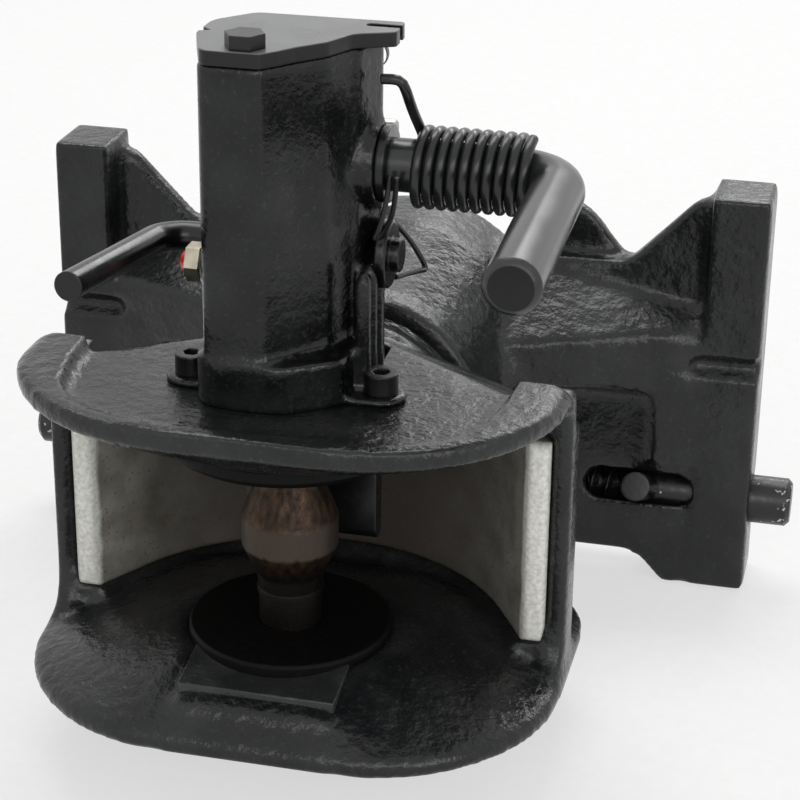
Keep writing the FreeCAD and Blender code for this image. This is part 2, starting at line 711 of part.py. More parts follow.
cross_bore = cylinder("cross_bore", "Y", yoke_front_y - 1, 40, yoke_pin_r, (0, yoke_pin_z))
as_part(cut("coupling_pin", pin_blank, cross_bore), "coupling_pin")

# Yoke on the stem, with the slot that the crank's roller lifts
yoke_block = prism("yoke_block", "XY_Plane", [
    (yoke_left_x, yoke_front_y, 2), (-2, yoke_front_y, 2), (stem_r * 0.7, yoke_front_y + 10, 3),
    (stem_r + 1.5, yoke_back_y - 6), (stem_r + 1.5, yoke_back_y), (yoke_left_x, yoke_back_y)],
    yoke_low_z, yoke_h)
slot_z = lever_z - lift / 2
slot_half = roller_r + slot_gap
yoke_slot = prism("yoke_slot", "XZ_Plane", [
    (yoke_left_x - 1, slot_z - slot_half), (yoke_left_x + yoke_slot_deep - 4, slot_z - slot_half),
    (yoke_left_x + yoke_slot_deep - 4, slot_z + slot_half), (yoke_left_x - 1, slot_z + slot_half)],
    yoke_front_y - 5, 45)
stem_bore = cylinder("stem_bore", "Z", yoke_low_z - 1, yoke_h + 2, stem_r)
as_part(cut("lifting_yoke", yoke_block, yoke_slot, stem_bore,
            cylinder("yoke_cross_bore", "Y", yoke_front_y - 1, 40, yoke_pin_r, (0, yoke_pin_z))),
        "lifting_yoke")
as_part(cut("yoke_pins", cylinder("yoke_pin_rod", "Y", -1 * stem_r - 6, 2 * stem_r + 7, yoke_pin_r,
                                 (0, yoke_pin_z)),
            cylinder("yoke_pin_room", "Z", yoke_low_z, yoke_h, spring_bore_r)), "yoke_pins")

# Mechanism housing: column, foot, lever boss, release boss, latch casing and hollow inside
tower_h = tower_top - deck_z
tower_plan = [
    (-24.8, tower_front, 5), (-1.5, tower_front, 3), (3.5, tower_front + 6), (8, -15.5, 4),
    (17, -5.5, 8), (23.5, 7, 3), (25, 8), (cross_boss_right - 0.5, tower_back, 2),
    (-19, tower_back, 7), (tower_left, 13, 12), (tower_left, -6, 14)]
column = prism("column", "XY_Plane", tower_plan, deck_z, tower_h)
foot_left = screw_head_r + loose - screw_x
foot_plan = [
    (foot_left, tower_front - 2, 14), (6, tower_front - 2, 10), (25, -16, 9), (27, 6, 4),
    (cross_boss_right, tower_back + 4, 4), (foot_left, tower_back + 4, 10)]
tower_foot = prism("tower_foot", "XY_Plane", foot_plan, deck_z, foot_h)
lever_boss = cylinder("lever_boss", "X", cross_boss_left, cross_boss_right - cross_boss_left,
                      cross_boss_r, (lever_y, lever_z))
release_boss = cylinder("release_boss", "X", tower_left - 2, 18, release_boss_r,
                        (release_y, release_z))
flag_boss = cylinder("flag_boss", "X", tower_left - 0.5, 6, flag_flats / 2 + 2, (flag_y, flag_z))
casing_profile = [
    (10, deck_z), (slot_back + 4, deck_z), (slot_back + 4, deck_z + 8, 4), (44, deck_z + 40, 8),
    (38, 172, 6), (10, 178)]
casing = prism("casing", "YZ_Plane", casing_profile, -1 * casing_half, 2 * casing_half)
ears = prism("ears", "XY_Plane", [
    (-1 * screw_x - 10, screw_y - 10, 9.5), (screw_x + 10, screw_y - 10, 9.5),
    (screw_x + 10, screw_y + 10, 9.5), (-1 * screw_x - 10, screw_y + 10, 9.5)], deck_z, ear_t)
housing_solid = join("housing_solid", column, tower_foot, lever_boss, release_boss, flag_boss, casing, ears)

belly_room = turned("belly_room", "Z", [
    (0, deck_z - 1), (pin_r + loose, deck_z - 1), (pin_r + loose, seat_low_z),
    (neck_r + loose, seat_high_z), (bore_r + guide_wall, seat_high_z), (bore_r + guide_wall, guide_z),
    (bore_r, guide_z), (bore_r, tower_top + 1), (0, tower_top + 1)])
crank_room_plan = [
    (crank_x - 0.6, tower_front + tower_wall, 2), (-3, tower_front + tower_wall, 2), (2, -15), (2, 33),
    (crank_x - 0.6, 33)]
crank_room = prism("crank_room", "XY_Plane", crank_room_plan, guide_z, tower_top + 1 - guide_z)
hub_room_keep = prism("hub_room_keep", "XY_Plane", [
    (crank_x - 0.6, tower_front + tower_wall), (14, tower_front + tower_wall), (14, tower_back - 3.2),
    (crank_x - 0.6, tower_back - 3.2)], guide_z, tower_top + 1 - guide_z)
column_room = common("column_room", crank_room, hub_room_keep)
hub_room = cylinder("hub_room", "X", crank_x - 0.6, crank_t + 3, crank_hub_r + 2 * free_gap,
                    (lever_y, lever_z))
yoke_room = prism("yoke_room", "XY_Plane", [
    (-5, -14), (4, -14), (12, -5), (12, 13), (-5, 13)], guide_z, tower_top + 1 - guide_z)
pawl_room = prism("pawl_room", "YZ_Plane", [
    (10, deck_z - 1), (slot_back - 1, deck_z - 1), (slot_back - 1, deck_z + 6), (38.5, deck_z + 38),
    (33, 168, 4), (10, 172)], -1 * (casing_half - casing_wall), 2 * (casing_half - casing_wall))
lever_bore_r = journal_r + lever_bush_wall
bush_right = cross_boss_right
bush_left = size("lever_bush_left_x", 14.0)
journal_bore = cylinder("journal_bore", "X", -25.5, 45, journal_r + running, (lever_y, lever_z))
bush_bore = cylinder("bush_bore", "X", bush_left, bush_right - bush_left + 1, lever_bore_r,
                     (lever_y, lever_z))
release_bore = cylinder("release_bore", "X", tower_left - 3, 60, release_r + running,
                        (release_y, release_z))
flag_bore = cylinder("flag_bore", "X", tower_left - 6, 14, flag_stem_r + loose, (flag_y, flag_z))
housing_bores = screw_pair("housing_bores", screw_r, deck_z - 1, ear_t + 2)
as_part(cut("mechanism_housing", housing_solid, belly_room, column_room, hub_room, yoke_room,
            pawl_room, journal_bore, bush_bore, release_bore, flag_bore, housing_bores),
        "mechanism_housing")

as_part(cylinder("guide_bush", "Z", seat_high_z, guide_z - seat_high_z, bore_r + guide_wall,
                 inner=neck_r + running), "guide_bush")
as_part(cylinder("lever_bush", "X", bush_left, bush_right - bush_left, lever_bore_r,
                 (lever_y, lever_z), inner=journal_r + running), "lever_bush")

# Cover plate with its cable tab, its bolt, and the two deck screws
cover_plan = [
    (-23.5, tower_front, 5), (-1.5, tower_front, 3), (3.5, tower_front + 6), (8, -15.5, 4),
    (17, -5.5, 8), (23, 8, 9), (37, 14.5, 2), (37, 29, 2), (14, tower_back + 0.5, 4),
    (-19, tower_back, 7), (cover_left, 13, 12), (cover_left, -6, 14)]
cover_blank = prism("cover_blank", "XY_Plane", cover_plan, tower_top, cover_t)
cable_slot = prism("cable_slot", "XY_Plane", [
    (24, 20, 1.8), (40, 20), (40, 24.2), (24, 24.2, 1.8)], tower_top - 1, cover_t + 2)
cover_notch = prism("cover_notch", "XY_Plane", [
    (cover_left - 3, -4), (cover_left + 4, -1), (cover_left - 3, 5)], tower_top - 1, cover_t + 2)
bolt_x = size("cover_bolt_x", -9.0)
bolt_y = size("cover_bolt_y", -20.0)
cover_hole = cylinder("cover_hole", "Z", tower_top - 1, cover_t + 2, screw_r, (bolt_x, bolt_y))
as_part(cut("cover_plate", cover_blank, cable_slot, cover_notch, cover_hole), "cover_plate")
cover_top = tower_top + cover_t
bolt = prism("bolt_head", "XY_Plane", hexagon(bolt_flats, bolt_x, bolt_y), cover_top, bolt_head_h)
bolt_shank = cylinder("bolt_shank", "Z", tower_top, cover_t, screw_r, (bolt_x, bolt_y))
as_part(join("cover_bolt", bolt, bolt_shank), "cover_bolt")
screw_heads = screw_pair("screw_heads", screw_head_r, deck_z + ear_t, screw_head_h)
screw_shanks = screw_pair("screw_shanks", screw_r, disc_seat_z - 5, deck_z + ear_t - disc_seat_z + 5)
sockets = join("sockets", *[prism("socket_%d" % i, "XY_Plane", hexagon(6 * screw_r / 4, side * screw_x,
                                                                     screw_y),
                                  deck_z + ear_t + screw_head_h / 2, screw_head_h)
                            for i, side in enumerate((-1, 1))])
as_part(cut("deck_screws", join("screw_bodies", screw_heads, screw_shanks), sockets), "deck_screws")

# Hand lever: journal, rod, bend and arm, with the crank and roller inside the housing
rod_x = cross_boss_right + collar_t + 0.3
rod = pipe("hand_lever_rod", "XY_Plane", (0, 0, lever_z), [
    (rod_x, lever_y), (lever_bend_x, lever_y, lever_bend_r), (lever_end_x, lever_end_y)],
    "YZ_Plane", (lever_y, lever_z, rod_x), lever_r)
dress(rod, "Chamfer", 2 * edge, lambda e: e.BoundBox.YMax < lever_end_y.value + 2)
crank_right = crank_x + crank_t
journal = cylinder("lever_journal", "X", crank_x - 4, rod_x - crank_x + 4, journal_r,
                   (lever_y, lever_z))
as_part(join("hand_lever", rod, journal), "hand_lever")
as_part(cylinder("lever_collar", "X", cross_boss_right + 0.3, collar_t, collar_out_r,
                 (lever_y, lever_z), inner=journal_r), "lever_collar")

half_swing = lever_swing / 2
tip_y = lever_y - crank_length * cosine(half_swing)
tip_low_z = lever_z - crank_length * sine(half_swing)


def disc_x(name, start, length, radius, y, z):
    return cylinder(name, "X", start, length, radius, (y, z))


def strap(name, x, width, first, second):
    """A flat link in the YZ plane whose two round ends are (y, z, radius)."""
    slope = math.atan2(number(second[1]) - number(first[1]), number(second[0]) - number(first[0]))
    side = (-math.sin(slope), math.cos(slope))
    corners = []
    for end, sign in ((first, 1), (second, 1), (second, -1), (first, -1)):
        corners.append((end[0] + sign * side[0] * end[2], end[1] + sign * side[1] * end[2]))
    bar = prism(name + "_bar", "YZ_Plane", corners, x, width)
    return join(name, bar, disc_x(name + "_a", x, width, first[2], first[0], first[1]),
                disc_x(name + "_b", x, width, second[2], second[0], second[1]))


crank = strap("crank", crank_x, crank_t, (lever_y, lever_z, crank_hub_r), (tip_y, tip_low_z, crank_tip_r))
as_part(cut("crank_arm", crank,
            disc_x("crank_bore", crank_x - 1, crank_t + 2, journal_r, lever_y, lever_z),
            disc_x("crank_pin_bore", crank_x + 2, crank_t, 2, tip_y, tip_low_z)), "crank_arm")
roller = disc_x("roller", crank_right + 0.2, yoke_left_x + yoke_slot_deep - 4.6 - crank_right, roller_r,
                tip_y, tip_low_z)
roller_axle = disc_x("roller_axle", crank_x + 2, crank_right - crank_x, 2, tip_y, tip_low_z)
as_part(join("crank_roller", roller, roller_axle), "crank_roller")


def helix(start, axis, first, radius, pitch, turns, steps):
    """Points of a helix about axis, beginning at start + first * radius."""
    second = axis.cross(first)
    points = []
    for i in range(int(turns * steps) + 1):
        angle = 2 * math.pi * i / steps
        points.append(start + axis * (pitch * i / steps)
                      + (first * math.cos(angle) + second * math.sin(angle)) * radius)
    return points


def wire_solid(name, points, radius, sides):
    """A bent wire of many-sided section along the points, as one closed solid."""
    rings = []
    side = (points[1] - points[0]).cross(V(0.3, 0.5, 0.8)).normalize()
    for i, point in enumerate(points):
        ahead = points[min(i + 1, len(points) - 1)] - points[max(i - 1, 0)]
        ahead.normalize()
        side = (side - ahead * side.dot(ahead)).normalize()
        across = ahead.cross(side)
        angles = [2 * math.pi * k / sides for k in range(sides)]
        rings.append([point + (side * math.cos(a) + across * math.sin(a)) * radius for a in angles])
    faces = [Part.Face(Part.makePolygon(rings[0][::-1] + [rings[0][-1]])),
             Part.Face(Part.makePolygon(rings[-1] + [rings[-1][0]]))]
    for low, high in zip(rings, rings[1:]):
        for k in range(sides):
            n = (k + 1) % sides
            faces.append(Part.Face(Part.makePolygon([low[k], low[n], high[n], low[k]])))
            faces.append(Part.Face(Part.makePolygon([low[k], high[n], high[k], low[k]])))
    solid = Part.Solid(Part.makeShell(faces))
    if solid.Volume < 0:
        solid.reverse()
    item = doc.addObject("Part::Feature", name)
    item.Shape = solid
    return as_part(item, name)


# Torsion spring round the lever, with one leg to the housing and one along the arm
axle = V(0, lever_y.value, lever_z.value)
coil_low = V(spring_x.value, 0, 0) + axle
coil_points = helix(coil_low, V(1, 0, 0), V(0, 1, 0), spring_r.value, spring_pitch.value,
                    spring_turns.value, 14)
coil_back = lever_y.value + spring_r.value
leg_z = lever_z.value + 27
leg_points = [V(15.9, coil_back, leg_z), V(32.5, coil_back, leg_z + 2), V(35, coil_back, leg_z + 0.5),
              V(41.7, coil_back, lever_z.value + 11)]
tail_points = [V(coil_points[-1].x + 3, coil_back, lever_z.value - 8),
               V(coil_points[-1].x + 5, lever_y.value + 5, lever_z.value - 14)]
wire_solid("torsion_spring", leg_points + coil_points + tail_points, spring_wire.value / 2, 7)

# Spring above the pin, inside the stem
pin_wire = size("pin_spring_wire", 1.6)
pin_spring_turns = size("pin_spring_turns", 9.0)
pin_wire_r = pin_wire.value / 2
foot_z = spring_bore_z.value + pin_wire_r + 0.1
coil_length = tower_top.value - pin_wire_r - 0.1 - foot_z
wire_solid("pin_spring", helix(V(0, 0, foot_z), V(0, 0, 1), V(1, 0, 0), spring_bore_r.value - 1.2,
                               coil_length / pin_spring_turns.value, pin_spring_turns.value, 12),
           pin_wire_r, 5)

# Release lever with the pawl that holds the lifted pin
release_rod = pipe("release_rod", "XY_Plane", (0, 0, 0), [
    (14, 0), (release_bend_x, 0, release_bend_r), (release_end_x, release_end_y - release_y)],
    "YZ_Plane", (0, 0, 14), release_r)
release_rod.Placement = FreeCAD.Placement(V(0, release_y.value, release_z.value),
                                          FreeCAD.Rotation(V(1, 0, 0), -release_tilt.value))
bind(release_rod, "Placement.Base.y", release_y)
bind(release_rod, "Placement.Base.z", release_z)
as_part(release_rod, "release_lever")

link_share = size("pawl_link_share", 0.6667)
tail_half = size("pawl_tail_half_thickness", 1.3)
link_y = trigger_y + (release_y - trigger_y) * link_share
link_z = trigger_z + (release_z - trigger_z) * link_share
pawl_face = neck_r + 0.4
pawl_top = pawl_nose_z + 8
pawl_plate = prism("pawl_plate", "YZ_Plane", [
    (pawl_face, release_z), (release_y + release_r + 1.5, release_z),
    (release_y + release_r + 1.5, pawl_nose_z, 3), (pawl_face + 4.5, pawl_top, 1.5),
    (pawl_face, pawl_top)], -1 * pawl_half, 2 * pawl_half)
pawl_tail = strap("pawl_tail", -1 * pawl_half, 2 * pawl_half, (release_y, release_z, tail_half),
                  (link_y, link_z, tail_half))
pawl_link = disc_x("pawl_link", -1 * pawl_half, 2 * pawl_half, link_r, link_y, link_z)
pawl_hub = disc_x("pawl_hub", -1 * pawl_half, 2 * pawl_half, release_r + 0.2, release_y, release_z)
as_part(cut("latch_pawl", join("pawl_body", pawl_plate, pawl_tail, pawl_link, pawl_hub),
            disc_x("pawl_bore", -1 * pawl_half - 1, 2 * pawl_half + 2, release_r, release_y, release_z)),
        "latch_pawl")

# Trigger: tongue behind the pin, hinge barrel, and the forked arm that turns the pawl
barrel = disc_x("barrel", -1 * trigger_half, 2 * trigger_half, barrel_r, trigger_y, trigger_z)
tongue = prism("tongue", "YZ_Plane", [
    (trigger_face_y, trigger_low_z, 4), (trigger_face_y + trigger_t, trigger_low_z, 4),
    (trigger_face_y + trigger_t, upper_disc_z - 2, 10), (trigger_y + barrel_r - 1, trigger_z - 2),
    (trigger_y - barrel_r + 1, trigger_z + 2), (trigger_face_y, upper_disc_z - 4, 10)],
    -1 * trigger_half, 2 * trigger_half)


def along_arm(share, radius):
    """A round end on the line from the link pin towards the pawl's axis, at this share of the way."""
    return (link_y + (release_y - trigger_y) * share, link_z + (release_z - trigger_z) * share, radius)


fork_wall = size("fork_wall", 2.0)
fork_r = link_r + link_gap
arm = strap("arm", -1 * pawl_half + 0.5, 2 * pawl_half - 1, (trigger_y, trigger_z, barrel_r - 1),
            along_arm(0, fork_r + fork_wall))
fork_slot = strap("fork_slot", -1 * pawl_half - 1, 2 * pawl_half + 2, along_arm(-0.05, fork_r),
                  along_arm(0.3, fork_r))
fork_end = strap("fork_end", -1 * pawl_half - 1, 2 * pawl_half + 2, along_arm(0.25, 12), along_arm(0.5, 12))
trigger_bore = disc_x("trigger_bore", -1 * trigger_half - 1, 2 * trigger_half + 2, hinge_r + running,
                      trigger_y, trigger_z)
as_part(cut("trigger_tongue", join("trigger_body", barrel, tongue, arm), fork_slot, fork_end,
            trigger_bore),
        "trigger_tongue")
as_part(cylinder("trigger_hinge_pin", "X", -1 * hinge_reach, 2 * hinge_reach, hinge_r,
                 (trigger_y, trigger_z)), "trigger_hinge_pin")

# Indicator: hexagon body on the housing's left wall and the red cap that slides in it
flag_x = tower_left - 0.5
flag_hex = prism("flag_hex", "YZ_Plane", hexagon(flag_flats, flag_y, flag_z), flag_x - flag_hex_t,
                 flag_hex_t)
as_part(cut("indicator_body", flag_hex,
            disc_x("flag_hex_bore", flag_x - flag_hex_t - 1, flag_hex_t + 2, flag_stem_r + loose,
                   flag_y, flag_z)), "indicator_body")
cap = turned("cap", "X", [
    (flag_x - flag_hex_t - 2.6, 0), (flag_x - flag_hex_t - 2.6, flag_r - 2, 1),
    (flag_x - flag_hex_t - 0.3, flag_r), (flag_x - flag_hex_t - 0.3, flag_stem_r),
    (flag_x + 3 + flag_travel, flag_stem_r), (flag_x + 3 + flag_travel, 0)], (flag_y, flag_z))
as_part(cap, "indicator_cap")

# Frame casting: ladder rails, web, wings, rear lobes, hub and front nose
half_w = frame_w / 2
inner_x = half_w - rail_w
rail_front = rail_back - rail_t


def mirrored(name, maker):
    """Makes the same piece at the left and at the right; maker takes the name and the side."""
    return [maker(name + "_left", -1), maker(name + "_right", 1)]


def rail(name, side):
    a, b = (inner_x - 1, half_w) if side > 0 else (-1 * half_w, 1 - inner_x)
    bar = prism(name, "XZ_Plane", [(a, rail_low), (b, rail_low), (b, rail_top), (a, rail_top)],
                rail_front, rail_t)
    return dress(bar, "Chamfer", edge, lambda e: abs(e.Vertexes[0].X - side * half_w.value) < 0.01
                 and flat_at(e, "X", side * half_w))


rails = mirrored("rail", rail)
web_front_view = prism("web_front_view", "XZ_Plane", [
    (-1 * inner_x, rail_low), (-1 * foot_x, rail_low, 4), (-1 * foot_x + 12, web_low, 14),
    (foot_x - 12, web_low, 14), (foot_x, rail_low, 4), (inner_x, rail_low), (inner_x, web_top),
    (-1 * inner_x, web_top)], nose_y - 10, rail_back - nose_y + 10)
web_plan = prism("web_plan", "XY_Plane", [
    (-1 * inner_x, rail_front + web_step, 8), (-1 * nose_half, nose_y, 10), (nose_half, nose_y, 10),
    (inner_x, rail_front + web_step, 8), (inner_x, rail_back), (-1 * inner_x, rail_back)],
    rail_low - 1, web_top - rail_low + 2)
web_side = prism("web_side", "YZ_Plane", [
    (rail_front, rail_low), (rail_back, rail_low), (rail_back, web_top), (nose_y - 20, web_top),
    (nose_y - 20, shelf_z - 12), (rail_front - 2, shelf_z - 26, 12), (rail_front, web_low)],
    -1 * inner_x, 2 * inner_x)
web_block = common("web_block", web_front_view, web_plan, web_side)


def shelf_space(name, side):
    """Space above the sloping shelf, whose front edge runs level along the web's oblique front."""
    box = doc.addObject("Part::Box", name)
    bind(box, "Length", frame_w)
    bind(box, "Width", frame_w)
    bind(box, "Height", rail_w * 4)
    normal = V(side * shelf_lean.value, -shelf_rise.value, 1)
    turn = FreeCAD.Rotation(V(0, 0, 1), normal)
    box.Placement = FreeCAD.Placement(V(0, 0, 0), turn)
    corner = turn.multVec(V(-frame_w.value / 2, -frame_w.value / 2, 0))
    bind(box, "Placement.Base.x", side * nose_half + corner.x)
    bind(box, "Placement.Base.y", nose_y + corner.y)
    bind(box, "Placement.Base.z", shelf_z + corner.z)
    half = prism(name + "_half", "XY_Plane", [
        (0, nose_y - 30), (side * half_w, nose_y - 30), (side * half_w, wing_front), (0, wing_front)][::side],
        0, 2 * web_top)
    return common(name + "_cut", box, half)


web = cut("web", web_block, *mirrored("shelf_space", shelf_space))


def wing(name, side):
    corners = [(side * (wing_foot_x - 6), web_top - 12), (side * inner_x, web_top - 12),
               (side * inner_x, wing_top_z), (side * wing_top_x, wing_top_z, 10),
               (side * wing_foot_x, web_top + 2, 8), (side * (wing_foot_x - 6), web_top)]
    return prism(name, "XZ_Plane", corners[::side], wing_front, wing_t)


def lobe(name, side):
    corners = [(side * lobe_in_x, web_top - 8), (side * lobe_out_x, web_top - 8),
               (side * lobe_out_x, web_top - 3), (side * (lobe_out_x - 17), lobe_top_z - 14, 40),
               (side * (lobe_out_x - 33), lobe_top_z - 3, lobe_r), (side * lobe_in_x, web_top + 3)]
    return prism(name, "XZ_Plane", corners[::side], rail_back - lobe_t, lobe_t)


hub = turned("hub", "Y", [
    (collar_face + washer_t, 0), (hub_back, 0), (hub_back, hub_back_r - 5), (hub_back - 5, hub_back_r),
    (rail_front, hub_back_r, 20), (collar_face + washer_t + 14, hub_front_r, 12),
    (collar_face + washer_t + 2, hub_front_r), (collar_face + washer_t, hub_front_r - 2)],
    (0, swivel_z))
frame_solid = join("frame_solid", *(rails + mirrored("wing", wing) + mirrored("lobe", lobe) + [web, hub]))

lock_y = rail_back - rail_t / 2
bore_out_r = shaft_r + running + bush_wall
swivel_bore = cylinder("swivel_bore", "Y", collar_face - 5, hub_back - collar_face + 10, bore_out_r,
                       (0, swivel_z))


def lock_bore(name, side):
    start = lock_bore_x if side > 0 else -1 * half_w - 1
    return cylinder(name, "X", start, half_w - lock_bore_x + 1, lock_r + running, (lock_y, lock_z))


def place_on_lock(body):
    """Tilts a piece drawn about the locking pin's axis and puts it there."""
    body.Placement = FreeCAD.Placement(V(0, lock_y.value, lock_z.value),
                                       FreeCAD.Rotation(V(1, 0, 0), -grip_tilt.value))
    bind(body, "Placement.Base.y", lock_y)
    bind(body, "Placement.Base.z", lock_z)
    return body


slot_reach = grip_r + free_gap


def grip_slot(name, side):
    low = grip_x - lock_travel - slot_reach
    corners = [(side * low, -1 * slot_reach, slot_reach - 0.01),
               (side * grip_slot_end_x, -1 * slot_reach, slot_reach - 0.01),
               (side * grip_slot_end_x, slot_reach, slot_reach - 0.01),
               (side * low, slot_reach, slot_reach - 0.01)]
    return place_on_lock(prism(name, "XZ_Plane", corners[::side], -80, 80 + lock_r * 0.3))


def rail_groove(name, side):
    a, b = (inner_x - 2, half_w + 6) if side > 0 else (-1 * half_w - 6, 2 - inner_x)
    r = groove_h / 2 - 0.01
    return prism(name, "XZ_Plane", [
        (a, groove_z - groove_h / 2, r), (b, groove_z - groove_h / 2, r),
        (b, groove_z + groove_h / 2, r), (a, groove_z + groove_h / 2, r)],
        rail_front - 1, groove_deep + 1)


def back_pocket(name, side):
    """Hollow in the back of the web, which keeps the casting's wall even."""
    hub_side = side * (hub_back_r + 7)
    rail_side = side * (inner_x - 7)
    floor_z = lock_z + lock_r + 6
    corners = [(hub_side, floor_z, 6), (rail_side, floor_z, 6), (rail_side, web_top - 10, 6),
               (hub_side, web_top - 10, 6)]
    return prism(name, "XZ_Plane", corners[::side], rail_back - pocket_deep, pocket_deep + 1)


nipple_r = size("nipple_thread_radius", 3.0)
nipple_place = (size("nipple_x", -12.0), size("nipple_y", 195.0))
nipple_z = swivel_z + hub_back_r - 1.5
nipple_bore = cylinder("nipple_bore", "Z", nipple_z - 6, 8, nipple_r, nipple_place)
nipple_seat = cylinder("nipple_seat", "Z", nipple_z, 6, 2 * nipple_r, nipple_place)
grease_duct = cylinder("grease_duct", "Z", swivel_z + shaft_r, nipple_z - swivel_z - shaft_r, nipple_r / 2,
                       nipple_place)
tools = [swivel_bore, nipple_bore, nipple_seat, grease_duct]
for maker in (("lock_bore", lock_bore), ("grip_slot", grip_slot), ("rail_groove", rail_groove),
              ("back_pocket", back_pocket)):
    tools += mirrored(*maker)
as_part(cut("frame_casting", frame_solid, *tools), "frame_casting")


def locking_pin(name, side):
    out = half_w + lock_out
    a, b = (lock_tail_x, out) if side > 0 else (-1 * out, -1 * lock_tail_x)
    bar = cylinder(name + "_rod", "X", a, b - a, lock_r, (lock_y, lock_z))
    dress(bar, "Chamfer", 2 * edge, lambda e: flat_at(e, "X", side * out))
    socket = place_on_lock(cylinder(name + "_socket", "Y", -20, 25, grip_r - 2, (side * grip_x, 0)))
    return as_part(cut(name, bar, socket), name)


def grip(name, side):
    """Grip screwed across the locking pin, its front end seen in the web's slot."""
    corners = [(-1 * grip_length, 0), (5, 0), (5, grip_r - 2), (-1 * lock_r - 1.5, grip_r - 2),
               (-1 * lock_r - 1.5, grip_r), (-1 * grip_length, grip_r)]
    return as_part(place_on_lock(turned(name, "Y", corners, (side * grip_x, 0))), name)


mirrored("locking_pin", locking_pin)
mirrored("locking_grip", grip)


def locking_spring(name, side):
    wire_r = lock_spring_wire.value / 2
    room = lock_tail_x.value - lock_bore_x.value - 2 * wire_r - 0.2
    start = V(side * (lock_bore_x.value + wire_r + 0.1), lock_y.value, lock_z.value)
    return wire_solid(name, helix(start, V(side, 0, 0), V(0, 0, 1), lock_spring_r.value, room / 6, 6, 12),
                      wire_r, 5)


mirrored("locking_spring", locking_spring)

# Swivel: shaft fixed in the jaw's collar, thrust washer, bushes, nut with washer and split pin
shaft_end = hub_back + nut_washer_t + nut_t + 8
shaft_blank = turned("shaft_blank", "Y", [
    (collar_face - 14, 0), (shaft_end, 0), (shaft_end, thread_r - 2), (shaft_end - 2, thread_r),
    (hub_back + nut_washer_t - 2, thread_r), (hub_back - 2, shaft_r), (collar_face, shaft_r),
    (collar_face, shaft_r - 4), (collar_face - 14, shaft_r - 4)], (0, swivel_z))
nut_y = hub_back + nut_washer_t
split_y = nut_y + nut_t - 5
split_bore = cylinder("split_bore", "Z", swivel_z - 40, 80, split_r, (0, split_y))
as_part(cut("swivel_shaft", shaft_blank, split_bore), "swivel_shaft")
as_part(cylinder("thrust_washer", "Y", collar_face, washer_t, collar_r - 4, (0, swivel_z),
                 inner=shaft_r), "thrust_washer")
back_y = collar_face + washer_t
for name, start in (("swivel_bush_front", back_y), ("swivel_bush_rear", hub_back - bush_length)):
    as_part(cylinder(name, "Y", start, bush_length, bore_out_r, (0, swivel_z),
                     inner=shaft_r + running), name)
as_part(cylinder("nut_washer", "Y", hub_back, nut_washer_t, nut_washer_r, (0, swivel_z),
                 inner=shaft_r - 2), "nut_washer")
nut_blank = prism("nut_blank", "XZ_Plane", hexagon(nut_flats, 0, swivel_z), nut_y, nut_t)
nut_slots = []
for i in range(3):
    angle = 60 * i
    bar = prism("nut_slot_%d" % i, "XZ_Plane", [(-3.3, -45), (3.3, -45), (3.3, 45), (-3.3, 45)],
                nut_y + nut_t - 9, 12)
    bar.Placement = FreeCAD.Placement(V(0, 0, swivel_z.value), FreeCAD.Rotation(V(0, 1, 0), angle))
    bind(bar, "Placement.Base.z", swivel_z)
    nut_slots.append(bar)
nut_core = cylinder("nut_core", "Y", nut_y - 1, nut_t + 2, thread_r, (0, swivel_z))
as_part(cut("castle_nut", nut_blank, nut_core, *nut_slots), "castle_nut")
as_part(cylinder("split_pin", "Z", swivel_z - 34, 68, split_r, (0, split_y)), "split_pin")

# Grease nipple on a spot face on top of the hub
as_part(turned("grease_nipple", "Z", [
    (0, nipple_z - 6), (nipple_r, nipple_z - 6), (nipple_r, nipple_z), (4.5, nipple_z), (4.5, nipple_z + 4),
    (2, nipple_z + 5), (3, nipple_z + 8), (0, nipple_z + 9)], nipple_place), "grease_nipple")

doc.recompute()
for item in doc.Objects:
    if "Invalid" in item.State or "Error" in item.State:
        raise ValueError("%s did not rebuild: %s" % (item.Name, item.State))
os.makedirs("parts", exist_ok=True)
for item in parts:
    if item.Shape.isNull() or not item.Shape.isValid():
        raise ValueError("%s has no valid shape" % item.Label)
    item.Shape.exportStep("parts/%s.step" % item.Label)
    print("%-22s solids %d volume %9.0f" % (item.Label, len(item.Shape.Solids), item.Shape.Volume))
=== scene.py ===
"""Looks of the automatic tow hitch: enamel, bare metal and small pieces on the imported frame.

Blender's lengths are metres in the part's own frame: +X right, +Y forward to the tractor, +Z up,
with the coupling pin's axis at X = 0, Y = 0. The lengths written here are millimetres.
"""
import math

import bmesh
import bpy
from mathutils import Matrix, Vector


